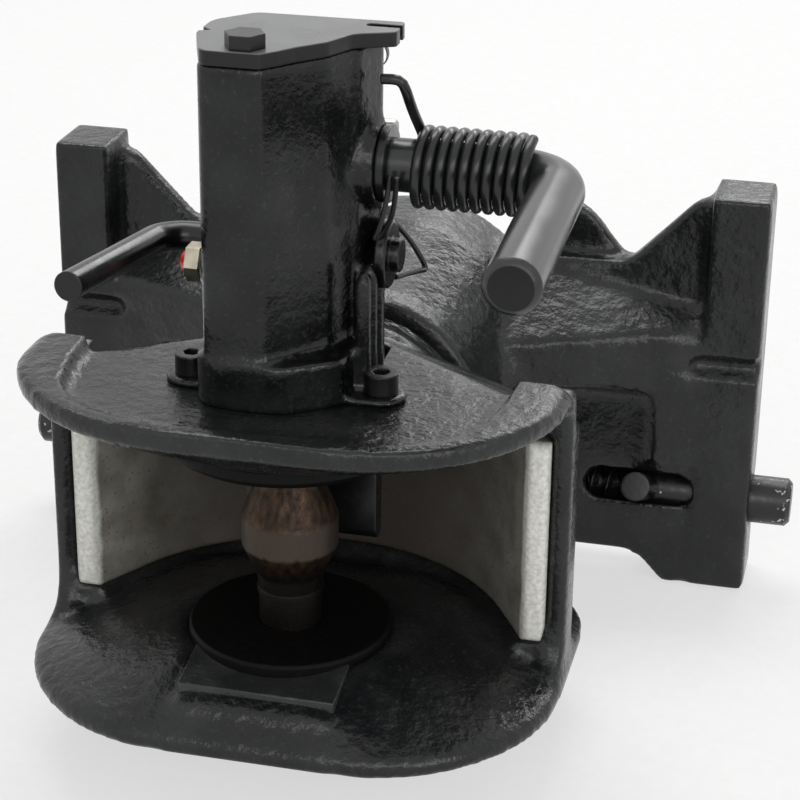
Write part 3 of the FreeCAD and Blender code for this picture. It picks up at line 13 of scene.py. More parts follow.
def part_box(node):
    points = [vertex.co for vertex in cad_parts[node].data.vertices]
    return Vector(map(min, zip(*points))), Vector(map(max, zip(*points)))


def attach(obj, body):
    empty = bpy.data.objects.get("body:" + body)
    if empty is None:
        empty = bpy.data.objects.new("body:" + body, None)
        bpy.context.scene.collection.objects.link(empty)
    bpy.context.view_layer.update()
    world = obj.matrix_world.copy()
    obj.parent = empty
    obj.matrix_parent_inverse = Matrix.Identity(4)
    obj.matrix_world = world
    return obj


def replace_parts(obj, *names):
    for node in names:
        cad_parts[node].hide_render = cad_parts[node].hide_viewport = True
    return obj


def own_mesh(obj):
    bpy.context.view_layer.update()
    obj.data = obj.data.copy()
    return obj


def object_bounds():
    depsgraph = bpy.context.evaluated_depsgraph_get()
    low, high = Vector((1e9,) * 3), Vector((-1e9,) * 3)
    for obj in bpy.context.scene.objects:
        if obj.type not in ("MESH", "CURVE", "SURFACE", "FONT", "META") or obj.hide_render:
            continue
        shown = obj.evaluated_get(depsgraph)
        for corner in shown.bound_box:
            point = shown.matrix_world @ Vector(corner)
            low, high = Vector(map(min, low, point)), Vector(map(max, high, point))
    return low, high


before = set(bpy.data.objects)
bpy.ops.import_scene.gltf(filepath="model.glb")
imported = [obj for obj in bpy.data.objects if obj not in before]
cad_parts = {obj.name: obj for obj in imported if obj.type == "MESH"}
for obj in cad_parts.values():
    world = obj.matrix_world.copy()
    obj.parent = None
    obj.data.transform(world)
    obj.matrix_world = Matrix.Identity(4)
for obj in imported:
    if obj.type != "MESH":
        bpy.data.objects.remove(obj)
start_low, start_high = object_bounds()
MM = 0.001

# A Mix node's colour sockets share their names with others, so they go by number
SHARE, UNDER, OVER, MIXED = 0, 6, 7, 2


# Shader helpers
def colour(code):
    """A hex colour as seen on a screen, turned into the linear colour that shaders take."""
    parts = [int(code[i:i + 2], 16) / 255 for i in (1, 3, 5)]
    return tuple(p / 12.92 if p <= 0.04045 else ((p + 0.055) / 1.055) ** 2.4 for p in parts) + (1.0,)


def add(tree, kind, inputs=None, output=0, **settings):
    """Adds a shader node with its settings, fills or links its inputs, and gives one of its outputs."""
    item = tree.nodes.new("ShaderNode" + kind)
    for name, value in settings.items():
        setattr(item, name, value)
    for name, value in (inputs or {}).items():
        if isinstance(value, bpy.types.NodeSocket):
            tree.links.new(value, item.inputs[name])
        else:
            item.inputs[name].default_value = value
    return item.outputs[output] if item.outputs else None


def per_metre(size):
    """The noise scale whose lumps are about size millimetres across."""
    return 1 / (size * MM)


def new_material(name):
    """An empty material, and the coordinates that are fixed to its piece, in metres."""
    material = bpy.data.materials.new(name)
    material.use_nodes = True
    tree = material.node_tree
    tree.nodes.clear()
    return material, tree, add(tree, "TexCoord", output="Object")


# Materials
def cast_enamel(name, base, light, waves_depth, sand_depth, peel_depth):
    """Black enamel brushed thick over sand-cast iron: lumpy gloss whose crests catch the light.

    The sand's real grit is under a millimetre. It is drawn at 4 mm, under a peel of 1.5 mm, to show.
    """
    material, tree, where = new_material(name)
    waves = add(tree, "TexNoise", {"Vector": where, "Scale": per_metre(13), "Detail": 2.0})
    sand = add(tree, "TexNoise", {"Vector": where, "Scale": per_metre(4), "Detail": 4.0})
    peel = add(tree, "TexNoise", {"Vector": where, "Scale": per_metre(1.5), "Detail": 3.0})
    patches = add(tree, "TexNoise", {"Vector": where, "Scale": per_metre(28), "Detail": 3.0})
    dust = add(tree, "TexNoise", {"Vector": where, "Scale": per_metre(2), "Detail": 5.0})
    lighter = add(tree, "MapRange", {"Value": patches, "From Min": 0.42, "From Max": 0.62})
    tint = add(tree, "Mix", {SHARE: lighter, UNDER: colour(base), OVER: colour(light)}, MIXED,
               data_type="RGBA")
    dusty = add(tree, "MapRange", {"Value": dust, "From Min": 0.58, "From Max": 0.76, "To Max": 0.5})
    tint = add(tree, "Mix", {SHARE: dusty, UNDER: tint, OVER: colour("#434445")}, MIXED, data_type="RGBA")
    uneven = add(tree, "Math", {0: patches, 1: peel}, operation="ADD")
    roughness = add(tree, "MapRange", {"Value": uneven, "From Min": 0.75, "From Max": 1.25,
                                       "To Min": 0.13, "To Max": 0.30})
    normal = add(tree, "Bump", {"Height": waves, "Distance": waves_depth * MM})
    normal = add(tree, "Bump", {"Height": sand, "Distance": sand_depth * MM, "Normal": normal})
    normal = add(tree, "Bump", {"Height": peel, "Distance": peel_depth * MM, "Normal": normal})
    shader = add(tree, "BsdfPrincipled", {"Base Color": tint, "Roughness": roughness, "Normal": normal,
                                          "Specular IOR Level": 0.34})
    add(tree, "OutputMaterial", {"Surface": shader})
    return material


def bar_enamel(name, base, light, smoothest, roughest):
    """Enamel on drawn or turned steel: smoother than on the castings, with faint orange peel."""
    material, tree, where = new_material(name)
    peel = add(tree, "TexNoise", {"Vector": where, "Scale": per_metre(2), "Detail": 2.0})
    patches = add(tree, "TexNoise", {"Vector": where, "Scale": per_metre(15), "Detail": 3.0})
    lighter = add(tree, "MapRange", {"Value": patches, "From Min": 0.4, "From Max": 0.65})
    tint = add(tree, "Mix", {SHARE: lighter, UNDER: colour(base), OVER: colour(light)}, MIXED,
               data_type="RGBA")
    roughness = add(tree, "MapRange", {"Value": patches, "From Min": 0.3, "From Max": 0.7,
                                       "To Min": smoothest, "To Max": roughest})
    normal = add(tree, "Bevel", {"Radius": 1.2 * MM}, samples=6)
    normal = add(tree, "Bump", {"Height": peel, "Distance": 0.03 * MM, "Normal": normal})
    shader = add(tree, "BsdfPrincipled", {"Base Color": tint, "Roughness": roughness, "Normal": normal,
                                          "Specular IOR Level": 0.4})
    add(tree, "OutputMaterial", {"Surface": shader})
    return material


def cover_enamel():
    """Enamel on the flame-cut cover plate: black on its edges, with a dull grey painted reflection on top.
    """
    material, tree, where = new_material("Black enamel on flame-cut plate, painted sheen on top")
    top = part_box("cover_plate")[1].z
    height = add(tree, "SeparateXYZ", {0: where}, "Z")
    peel = add(tree, "TexNoise", {"Vector": where, "Scale": per_metre(2), "Detail": 2.0})
    patches = add(tree, "TexNoise", {"Vector": where, "Scale": per_metre(15), "Detail": 3.0})
    lighter = add(tree, "MapRange", {"Value": patches, "From Min": 0.4, "From Max": 0.65})
    # Painted reflection: the dull grey on top stands for bright light mirrored in the black enamel.
    painted_sheen = add(tree, "Mix", {SHARE: lighter, UNDER: colour("#666767"), OVER: colour("#767777")}, MIXED,
                 data_type="RGBA")
    on_top = add(tree, "MapRange", {"Value": height, "From Min": top - 0.4 * MM, "From Max": top - 0.1 * MM})
    tint = add(tree, "Mix", {SHARE: on_top, UNDER: colour("#0e0f0f"), OVER: painted_sheen}, MIXED,
               data_type="RGBA")
    roughness = add(tree, "MapRange", {"Value": patches, "From Min": 0.3, "From Max": 0.7,
                                       "To Min": 0.24, "To Max": 0.36})
    normal = add(tree, "Bevel", {"Radius": 0.8 * MM}, samples=6)
    normal = add(tree, "Bump", {"Height": peel, "Distance": 0.03 * MM, "Normal": normal})
    shader = add(tree, "BsdfPrincipled", {"Base Color": tint, "Roughness": roughness, "Normal": normal,
                                          "Specular IOR Level": 0.4})
    add(tree, "OutputMaterial", {"Surface": shader})
    return material


def metal(name, base, dark, smoothest, roughest, mark_size, stretch=(1, 1, 1)):
    """Bare or plated metal: tool marks in its gloss, drawn coarser than real ones, and cloudy dulling."""
    material, tree, where = new_material(name)
    drawn_out = add(tree, "Mapping", {"Vector": where, "Scale": stretch})
    marks = add(tree, "TexNoise", {"Vector": drawn_out, "Scale": per_metre(mark_size), "Detail": 3.0})
    clouds = add(tree, "TexNoise", {"Vector": where, "Scale": per_metre(9), "Detail": 3.0})
    dulled = add(tree, "MapRange", {"Value": clouds, "From Min": 0.35, "From Max": 0.65})
    tint = add(tree, "Mix", {SHARE: dulled, UNDER: colour(base), OVER: colour(dark)}, MIXED,
               data_type="RGBA")
    roughness = add(tree, "MapRange", {"Value": marks, "From Min": 0.3, "From Max": 0.7,
                                       "To Min": smoothest, "To Max": roughest})
    normal = add(tree, "Bevel", {"Radius": 0.6 * MM}, samples=6)
    normal = add(tree, "Bump", {"Height": marks, "Distance": 0.02 * MM, "Normal": normal})
    shader = add(tree, "BsdfPrincipled", {"Base Color": tint, "Roughness": roughness, "Normal": normal,
                                          "Metallic": 1.0})
    add(tree, "OutputMaterial", {"Surface": shader})
    return material


def liner_iron():
    """Bare grey cast iron flecked with rust, with pale front ends worn bright by scouring and painted paler
    as lit, and painted shade darkening it towards the back of the mouth.
    """
    material, tree, where = new_material("Bare grey cast iron, lightly rusted")
    depth = add(tree, "SeparateXYZ", {0: where}, "Y")
    sand = add(tree, "TexNoise", {"Vector": where, "Scale": per_metre(1.7), "Detail": 4.0})
    clouds = add(tree, "TexNoise", {"Vector": where, "Scale": per_metre(14), "Detail": 4.0})
    flecks = add(tree, "TexNoise", {"Vector": where, "Scale": per_metre(1.6), "Detail": 3.0})
    browner = add(tree, "MapRange", {"Value": clouds, "From Min": 0.35, "From Max": 0.68})
    inner = add(tree, "Mix", {SHARE: browner, UNDER: colour("#96938a"), OVER: colour("#726e65")}, MIXED,
                data_type="RGBA")
    # Painted shade: the inner faces darken towards the back of the mouth, where shade falls.
    shaded_deeper = add(tree, "MapRange", {"Value": depth, "From Min": 30 * MM, "From Max": 85 * MM})
    inner = add(tree, "Mix", {SHARE: shaded_deeper, UNDER: inner, OVER: colour("#4a443e")}, MIXED,
                data_type="RGBA")
    rusted = add(tree, "MapRange", {"Value": flecks, "From Min": 0.62, "From Max": 0.70, "To Max": 0.8})
    inner = add(tree, "Mix", {SHARE: rusted, UNDER: inner, OVER: colour("#5a4433")}, MIXED,
                data_type="RGBA")
    # The front ends are bare metal worn bright by scouring, and they are also painted near white to stand in
    # for the light that falls on them.
    greyer = add(tree, "MapRange", {"Value": sand, "From Min": 0.35, "From Max": 0.7})
    scoured_and_lit = add(tree, "Mix", {SHARE: greyer, UNDER: colour("#f2f2ec"), OVER: colour("#d0d0c5")}, MIXED,
                  data_type="RGBA")
    waver = add(tree, "MapRange", {"Value": clouds, "From Min": 0.3, "From Max": 0.7,
                                   "To Min": -0.8 * MM, "To Max": 0.8 * MM})
    from_end = add(tree, "Math", {0: depth, 1: waver}, operation="ADD")
    inside = add(tree, "MapRange", {"Value": from_end, "From Min": 22.5 * MM, "From Max": 24.5 * MM})
    tint = add(tree, "Mix", {SHARE: inside, UNDER: scoured_and_lit, OVER: inner}, MIXED, data_type="RGBA")
    roughness = add(tree, "MapRange", {"Value": sand, "From Min": 0.3, "From Max": 0.7,
                                       "To Min": 0.55, "To Max": 0.8})
    normal = add(tree, "Bevel", {"Radius": 2.5 * MM}, samples=6)
    normal = add(tree, "Bump", {"Height": sand, "Distance": 0.18 * MM, "Normal": normal})
    shader = add(tree, "BsdfPrincipled", {"Base Color": tint, "Roughness": roughness, "Normal": normal,
                                          "Metallic": 0.1})
    add(tree, "OutputMaterial", {"Surface": shader})
    return material


def pin_steel():
    """Forged pin: brown oxide in upright streaks, paler where the drawbar eye rubs on the belly."""
    material, tree, where = new_material("Forged steel, brown oxide and worn band")
    height = add(tree, "SeparateXYZ", {0: where}, "Z")
    drawn_out = add(tree, "Mapping", {"Vector": where, "Scale": (1, 1, 0.35)})
    streaks = add(tree, "TexNoise", {"Vector": drawn_out, "Scale": per_metre(3), "Detail": 4.0})
    fine = add(tree, "TexNoise", {"Vector": where, "Scale": per_metre(0.9), "Detail": 3.0})
    redder = add(tree, "MapRange", {"Value": streaks, "From Min": 0.35, "From Max": 0.68})
    brown = add(tree, "Mix", {SHARE: redder, UNDER: colour("#1f1711"), OVER: colour("#4a382a")}, MIXED,
                data_type="RGBA")
    waver = add(tree, "MapRange", {"Value": streaks, "From Min": 0.3, "From Max": 0.7,
                                   "To Min": -1.2 * MM, "To Max": 1.2 * MM})
    ragged = add(tree, "Math", {0: height, 1: waver}, operation="ADD")
    over_low = add(tree, "MapRange", {"Value": ragged, "From Min": 32.5 * MM, "From Max": 34.5 * MM})
    under_high = add(tree, "MapRange", {"Value": ragged, "From Min": 44.5 * MM, "From Max": 46.5 * MM,
                                        "To Min": 1.0, "To Max": 0.0})
    worn = add(tree, "Math", {0: over_low, 1: under_high}, operation="MULTIPLY")
    tint = add(tree, "Mix", {SHARE: worn, UNDER: brown, OVER: colour("#443c34")}, MIXED, data_type="RGBA")
    greasy = add(tree, "MapRange", {"Value": height, "From Min": 33 * MM, "From Max": 22 * MM})
    tint = add(tree, "Mix", {SHARE: greasy, UNDER: tint, OVER: colour("#15110e")}, MIXED, data_type="RGBA")
    roughness = add(tree, "MapRange", {"Value": fine, "From Min": 0.3, "From Max": 0.7,
                                       "To Min": 0.38, "To Max": 0.6})
    normal = add(tree, "Bump", {"Height": streaks, "Distance": 0.08 * MM})
    normal = add(tree, "Bump", {"Height": fine, "Distance": 0.05 * MM, "Normal": normal})
    shader = add(tree, "BsdfPrincipled", {"Base Color": tint, "Roughness": roughness, "Normal": normal,
                                          "Metallic": 0.75})
    add(tree, "OutputMaterial", {"Surface": shader})
    return material


def lever_enamel():
    """Smooth dipped enamel on the lever, with a long soft shine, and painted shade for an open end: a
    near-black disc on its end face.
    """
    material, tree, where = new_material("Dipped black enamel on bar steel")
    end_x, end_y, end_z, bore_r = 101.5, -94.0, 184.0, 7.6
    along = add(tree, "SeparateXYZ", {0: where}, "Y")
    spot = add(tree, "VectorMath", {0: where, 1: (end_x * MM, 0, end_z * MM)}, operation="SUBTRACT")
    flat = add(tree, "VectorMath", {0: spot, 1: (1, 0, 1)}, operation="MULTIPLY")
    away = add(tree, "VectorMath", {0: flat}, "Value", operation="LENGTH")
    peel = add(tree, "TexNoise", {"Vector": where, "Scale": per_metre(3.5), "Detail": 2.0})
    patches = add(tree, "TexNoise", {"Vector": where, "Scale": per_metre(22), "Detail": 3.0})
    lighter = add(tree, "MapRange", {"Value": patches, "From Min": 0.4, "From Max": 0.65})
    tint = add(tree, "Mix", {SHARE: lighter, UNDER: colour("#232425"), OVER: colour("#2b2c2d")}, MIXED,
               data_type="RGBA")
    at_end = add(tree, "MapRange", {"Value": along, "From Min": end_y * MM, "From Max": (end_y - 0.3) * MM})
    in_bore = add(tree, "MapRange", {"Value": away, "From Min": (bore_r + 0.3) * MM,
                                     "From Max": bore_r * MM})
    # Painted shade: a near-black disc on the end face stands for the dark inside of an open bore.
    bore_shade = add(tree, "Math", {0: at_end, 1: in_bore}, operation="MULTIPLY")
    tint = add(tree, "Mix", {SHARE: bore_shade, UNDER: tint, OVER: colour("#050505")}, MIXED, data_type="RGBA")
    sheen = add(tree, "MapRange", {"Value": patches, "From Min": 0.3, "From Max": 0.7,
                                   "To Min": 0.17, "To Max": 0.26})
    dull = add(tree, "Math", {0: bore_shade, 1: 0.6}, operation="MULTIPLY")
    roughness = add(tree, "Math", {0: sheen, 1: dull}, operation="ADD")
    normal = add(tree, "Bevel", {"Radius": 2.0 * MM}, samples=6)
    normal = add(tree, "Bump", {"Height": peel, "Distance": 0.02 * MM, "Normal": normal})
    shader = add(tree, "BsdfPrincipled", {"Base Color": tint, "Roughness": roughness, "Normal": normal})
    add(tree, "OutputMaterial", {"Surface": shader})
    return material


def locking_enamel():
    """Black enamel on the locking pins, chipped to pale metal, most of all at their outer ends."""
    material, tree, where = new_material("Black enamel on round bar, chipped")
    sideways = add(tree, "SeparateXYZ", {0: where}, "X")
    outward = add(tree, "Math", {0: sideways}, operation="ABSOLUTE")
    chips = add(tree, "TexNoise", {"Vector": where, "Scale": per_metre(2.6), "Detail": 4.0})
    kept = add(tree, "MapRange", {"Value": outward, "From Min": 160 * MM, "From Max": 181.5 * MM,
                                  "To Min": 0.10, "To Max": 0.02})
    loose = add(tree, "Math", {0: chips, 1: kept}, operation="SUBTRACT")
    chipped = add(tree, "MapRange", {"Value": loose, "From Min": 0.60, "From Max": 0.63})
    tint = add(tree, "Mix", {SHARE: chipped, UNDER: colour("#141415"), OVER: colour("#c9c8c2")}, MIXED,
               data_type="RGBA")
    roughness = add(tree, "MapRange", {"Value": chips, "From Min": 0.3, "From Max": 0.7,
                                       "To Min": 0.25, "To Max": 0.45})
    normal = add(tree, "Bevel", {"Radius": 1.5 * MM}, samples=6)
    normal = add(tree, "Bump", {"Height": chips, "Distance": 0.06 * MM, "Normal": normal})
    shader = add(tree, "BsdfPrincipled", {"Base Color": tint, "Roughness": roughness, "Normal": normal})
    add(tree, "OutputMaterial", {"Surface": shader})
    return material


def disc_enamel():
    """Black wear disc, scuffed in rings and greasy where the drawbar eye turns on it."""
    material, tree, where = new_material("Greased black steel, scuffed by turning")
    level = add(tree, "VectorMath", {0: where, 1: (1, 1, 0)}, operation="MULTIPLY")
    away = add(tree, "VectorMath", {0: level}, "Value", operation="LENGTH")
    round_pin = add(tree, "CombineXYZ", {0: away})
    rings = add(tree, "TexNoise", {"Vector": round_pin, "Scale": per_metre(1.2), "Detail": 3.0})
    dust = add(tree, "TexNoise", {"Vector": where, "Scale": per_metre(2), "Detail": 4.0})
    lighter = add(tree, "MapRange", {"Value": rings, "From Min": 0.45, "From Max": 0.7})
    tint = add(tree, "Mix", {SHARE: lighter, UNDER: colour("#070606"), OVER: colour("#0f0d0c")}, MIXED,
               data_type="RGBA")
    dusty = add(tree, "MapRange", {"Value": dust, "From Min": 0.64, "From Max": 0.78, "To Max": 0.5})
    tint = add(tree, "Mix", {SHARE: dusty, UNDER: tint, OVER: colour("#33291f")}, MIXED, data_type="RGBA")
    roughness = add(tree, "MapRange", {"Value": dust, "From Min": 0.3, "From Max": 0.7,
                                       "To Min": 0.42, "To Max": 0.62})
    normal = add(tree, "Bevel", {"Radius": 1.0 * MM}, samples=6)
    normal = add(tree, "Bump", {"Height": rings, "Distance": 0.03 * MM, "Normal": normal})
    shader = add(tree, "BsdfPrincipled", {"Base Color": tint, "Roughness": roughness, "Normal": normal,
                                          "Specular IOR Level": 0.12})
    add(tree, "OutputMaterial", {"Surface": shader})
    return material


def cap_plastic():
    """Red moulded cap, slightly faded in a fine mottle."""
    material, tree, where = new_material("Moulded red polyethylene")
    mottle = add(tree, "TexNoise", {"Vector": where, "Scale": per_metre(1.8), "Detail": 2.0})
    faded = add(tree, "MapRange", {"Value": mottle, "From Min": 0.4, "From Max": 0.65})
    tint = add(tree, "Mix", {SHARE: faded, UNDER: colour("#e01a14"), OVER: colour("#c4120e")}, MIXED,
               data_type="RGBA")
    roughness = add(tree, "MapRange", {"Value": mottle, "From Min": 0.3, "From Max": 0.7,
                                       "To Min": 0.30, "To Max": 0.42})
    normal = add(tree, "Bump", {"Height": mottle, "Distance": 0.02 * MM})
    shader = add(tree, "BsdfPrincipled", {"Base Color": tint, "Roughness": roughness, "Normal": normal})
    add(tree, "OutputMaterial", {"Surface": shader})
    return material


CAST = cast_enamel("Black enamel over sand-cast iron", "#1b1c1d", "#28292a", 0.9, 0.6, 0.16)
TOWER = cast_enamel("Black enamel over shell-moulded iron", "#0e0f10", "#202122", 0.35, 0.3, 0.12)
# Road dust greys this enamel. Its colour is also painted lighter as painted light, for light reaching the
# pad under the upper lip.
DUSTY_LIT = cast_enamel("Black enamel under road dust, painted lighter as lit", "#2c2d2e", "#404141", 0.3, 0.5, 0.16)
BAR = bar_enamel("Black enamel on drawn bar", "#0d0e0f", "#161718", 0.18, 0.30)
BOLT = bar_enamel("Black oxide on steel screws", "#0e0e0e", "#1a1a1a", 0.26, 0.40)
COVER = cover_enamel()
SPRING = bar_enamel("Black enamel on spring wire", "#1c1d1e", "#262727", 0.16, 0.26)
LEVER = lever_enamel()
LOCK = locking_enamel()
DISC = disc_enamel()
LINER = liner_iron()
PIN = pin_steel()
CAP = cap_plastic()
STEEL = metal("Turned and greased steel", "#8d8a86", "#5f5b57", 0.25, 0.42, 1.0, (1, 8, 1))
ZINC = metal("Zinc-plated steel", "#bdbcb6", "#989790", 0.28, 0.45, 1.2)
BRONZE = metal("Turned bearing bronze", "#a67c4a", "#7f5b33", 0.3, 0.45, 1.0)
BRASS = metal("Machined brass, dulled", "#b9b2a2", "#8d8474", 0.3, 0.45, 1.2)

NODE_MATERIALS = {
    "frame_casting": CAST, "jaw_casting": CAST, "mechanism_housing": CAST,
    "cover_plate": COVER, "cover_bolt": BOLT, "deck_screws": BOLT,
    "jaw_liner": LINER, "coupling_pin": PIN, "lower_wear_disc": DISC, "upper_wear_disc": DISC,
    "hand_lever": LEVER, "lever_collar": BAR, "release_lever": BAR, "trigger_tongue": BAR,
    "torsion_spring": SPRING, "pin_spring": SPRING, "locking_spring_left": SPRING,
    "locking_spring_right": SPRING, "locking_pin_left": LOCK, "locking_pin_right": LOCK,
    "locking_grip_left": BAR, "locking_grip_right": BAR, "indicator_cap": CAP, "indicator_body": BRASS,
    "grease_nipple": ZINC, "nut_washer": ZINC, "castle_nut": ZINC, "split_pin": ZINC,
    "swivel_bush_front": BRONZE, "swivel_bush_rear": BRONZE, "thrust_washer": BRONZE,
    "guide_bush": BRONZE, "lever_bush": BRONZE, "lower_pin_bush": BRONZE,
    "lifting_yoke": STEEL, "yoke_pins": STEEL, "crank_arm": STEEL, "crank_roller": STEEL,
    "latch_pawl": STEEL, "trigger_hinge_pin": STEEL, "swivel_shaft": STEEL,
}


def dress(item, material):
    item.data.materials.clear()
    item.data.materials.append(material)


# Mesh helpers, in millimetres
PLANES = {"XY": (0, 1, 2), "XZ": (0, 2, 1), "YZ": (1, 2, 0)}
SHARP_ANGLE = math.radians(40)


def point(x, y, z):
    return Vector((x, y, z)) * MM


def arc(centre, radius, start, end, steps=6):
    """Points of an outline round centre, from one angle to the other, in degrees."""
    angles = [math.radians(start + (end - start) * i / steps) for i in range(steps + 1)]
    return [(centre[0] + radius * math.cos(a), centre[1] + radius * math.sin(a)) for a in angles]


def mirrored(outline, side):
    """The outline as it is on the right, or turned over for the left where side is -1."""
    return [(side * x, other) for x, other in outline]


def prism(shape, plane, corners, start, end):
    """Adds a closed prism to shape: its outline in the plane, carried from start to end across it."""
    first, second, across = PLANES[plane]
    corner_verts = []
    for a, b in corners:
        place = [0.0, 0.0, 0.0]
        place[first], place[second], place[across] = a * MM, b * MM, start * MM
        corner_verts.append(shape.verts.new(place))
    base = shape.faces.new(corner_verts)
    grown = bmesh.ops.extrude_face_region(shape, geom=[base])["geom"]
    away = [0.0, 0.0, 0.0]
    away[across] = (end - start) * MM
    bmesh.ops.translate(shape, verts=[g for g in grown if isinstance(g, bmesh.types.BMVert)], vec=away)
    sides = {f for g in grown if isinstance(g, bmesh.types.BMVert) for f in g.link_faces}
    bmesh.ops.recalc_face_normals(shape, faces=list(sides | {base}))


def turned(shape, axis_name, centre, profile, steps=48):
    """Adds a solid of revolution about a line along axis_name: profile gives (along, radius) pairs."""
    along = Vector([float(axis_name == n) for n in "XYZ"])
    outward = Vector((0, 0, 1)) if axis_name != "Z" else Vector((1, 0, 0))
    line = [shape.verts.new(Vector(centre) * MM + along * a * MM + outward * r * MM) for a, r in profile]
    edges = [shape.edges.new(pair) for pair in zip(line, line[1:])]
    bmesh.ops.spin(shape, geom=line + edges, cent=Vector(centre) * MM, axis=along, angle=2 * math.pi,
                   steps=steps, use_merge=True)
    bmesh.ops.remove_doubles(shape, verts=shape.verts, dist=0.001 * MM)
    bmesh.ops.recalc_face_normals(shape, faces=shape.faces)


def finished(name, shape, material, body):
    """Turns a bmesh into a piece of the object, smooth where its faces meet softly."""
    mesh = bpy.data.meshes.new(name)
    shape.to_mesh(mesh)
    shape.free()
    item = bpy.data.objects.new(name, mesh)
    bpy.context.scene.collection.objects.link(item)
    mesh.shade_smooth()
    mesh.set_sharp_from_angle(angle=SHARP_ANGLE)
    dress(item, material)
    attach(item, body)
    return item


def wire(name, points, thickness, material, body, steps=6):
    """A bent wire that follows the points smoothly, with steps rings of faces to each of its runs."""
    line = bpy.data.curves.new(name, "CURVE")
    line.dimensions = "3D"
    line.bevel_depth = thickness / 2 * MM
    line.bevel_resolution = 4
    line.use_fill_caps = True
    spline = line.splines.new("NURBS")
    spline.points.add(len(points) - 1)
    for knot, place in zip(spline.points, points):
        knot.co = (*(point(*place)), 1.0)
    spline.order_u = 3
    spline.use_endpoint_u = True
    spline.resolution_u = steps
    route = bpy.data.objects.new(name, line)
    bpy.context.scene.collection.objects.link(route)
    mesh = bpy.data.meshes.new_from_object(route.evaluated_get(bpy.context.evaluated_depsgraph_get()))
    bpy.data.objects.remove(route)
    shape = bmesh.new()
    shape.from_mesh(mesh)
    bmesh.ops.remove_doubles(shape, verts=shape.verts, dist=0.001 * MM)
    bmesh.ops.recalc_face_normals(shape, faces=shape.faces)
    return finished(name, shape, material, body)


def merged_copy(node):
    """The node's own solid as one closed bmesh."""
    shape = bmesh.new()
    shape.from_mesh(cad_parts[node].data)
    bmesh.ops.remove_doubles(shape, verts=shape.verts, dist=0.01 * MM)
    return shape


def carved(shape, cutter):
    """Takes the cutter's solids away from shape, and gives the rest as a new bmesh."""
    pair = []
    for name, solid in (("carved", shape), ("cutter", cutter)):
        mesh = bpy.data.meshes.new(name)
        solid.to_mesh(mesh)
        solid.free()
        pair.append(bpy.data.objects.new(name, mesh))
        bpy.context.scene.collection.objects.link(pair[-1])
    cut = pair[0].modifiers.new("cut", "BOOLEAN")
    cut.object = pair[1]
    cut.operation = "DIFFERENCE"
    cut.solver = "EXACT"
    cut.use_self = True
    mesh = bpy.data.meshes.new_from_object(pair[0].evaluated_get(bpy.context.evaluated_depsgraph_get()))
    rest = bmesh.new()
    rest.from_mesh(mesh)
    for item in pair:
        bpy.data.objects.remove(item)
    return rest


def as_cast(name, node, shape, voxel, passes, material, body):
    """Stands for a casting: its solid with the corners filled and the edges rounded, as sand leaves them."""
    item = finished(name, shape, material, body)
    skin = item.modifiers.new("skin", "REMESH")
    skin.mode = "VOXEL"
    skin.voxel_size = voxel * MM
    skin.use_smooth_shade = True
    rounding = item.modifiers.new("rounding", "SMOOTH")
    rounding.factor = 0.5
    rounding.iterations = passes
    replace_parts(item, node)
    return item


for node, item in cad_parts.items():
    dress(item, NODE_MATERIALS[node])


# Castings, with the forms that the solids keep plain
LIP_LOW = -22.5
RIM_UNDER, RIM_TOP = 98.0, 106.0
WALL_FRONT, WALL_IN, WALL_OUT = 20.0, 97.5, 106.5


def lower_front_pad(shape):
    """Sinks the solid's own pad into the lip, where front_pad takes its place."""
    half_width, front_y, slope_y, back_y, sunk_z, top_z, drop = 33, -57, -50, -26.5, -12, -2, 1.5
    for vert in shape.verts:
        x, y, z = vert.co / MM
        if abs(x) < half_width and front_y < y < back_y and sunk_z < z < top_z:
            vert.co.z = (sunk_z if y < slope_y else z - drop) * MM


def cast_jaw():
    """The jaw, with shoulders behind the rim, arches under its ends, and feet on the lower lip."""
    arch_r, foot_r, corner_r, corner_x, corner_z = 14.0, 20.0, 9.0, 108.0, 106.2
    shoulder = [(106.5, 14), (86, 14), (84, -10), (80, -30), (70, -47), (79, -46), (94, -34),
                (103, -16), (106.5, 0)]
    shoulder_back = [(106.5, 14), (86, 14), (86, 9), (106.5, 9)]
    arch = [(WALL_FRONT + 3, RIM_UNDER - arch_r)]
    arch += arc((WALL_FRONT - arch_r, RIM_UNDER - arch_r), arch_r, 0, 90)
    arch += [(WALL_FRONT - arch_r, RIM_UNDER + 3), (WALL_FRONT + 3, RIM_UNDER + 3)]
    foot = [(WALL_FRONT + 3, LIP_LOW + foot_r)]
    foot += arc((WALL_FRONT - foot_r, LIP_LOW + foot_r), foot_r, 0, -90)
    foot += [(WALL_FRONT - foot_r, LIP_LOW - 5), (WALL_FRONT + 3, LIP_LOW - 5)]
    corner = arc((corner_x - corner_r, corner_z - corner_r), corner_r, 90, 0)
    corner += [(corner_x + 4, corner_z - corner_r), (corner_x + 4, corner_z + 4),
               (corner_x - corner_r, corner_z + 4)]
    behind_rim = [(62, 14), (112, 14), (112, 34), (62, 34)]
    shape = merged_copy("jaw_casting")
    lower_front_pad(shape)
    cutter = bmesh.new()
    for side in (-1, 1):
        prism(shape, "XY", mirrored(shoulder, side), RIM_UNDER - 0.5, RIM_TOP)
        prism(shape, "XY", mirrored(shoulder_back, side), RIM_UNDER - 5, RIM_TOP)
        prism(shape, "YZ", arch, side * WALL_IN, side * WALL_OUT)
        prism(shape, "YZ", foot, side * WALL_IN, side * WALL_OUT)
        prism(cutter, "XZ", mirrored(corner, side), -30, 60)
        prism(cutter, "XY", mirrored(behind_rim, side), 99.6, 112)
    as_cast("jaw_cast", "jaw_casting", carved(shape, cutter), 2.0, 12, CAST, "head")


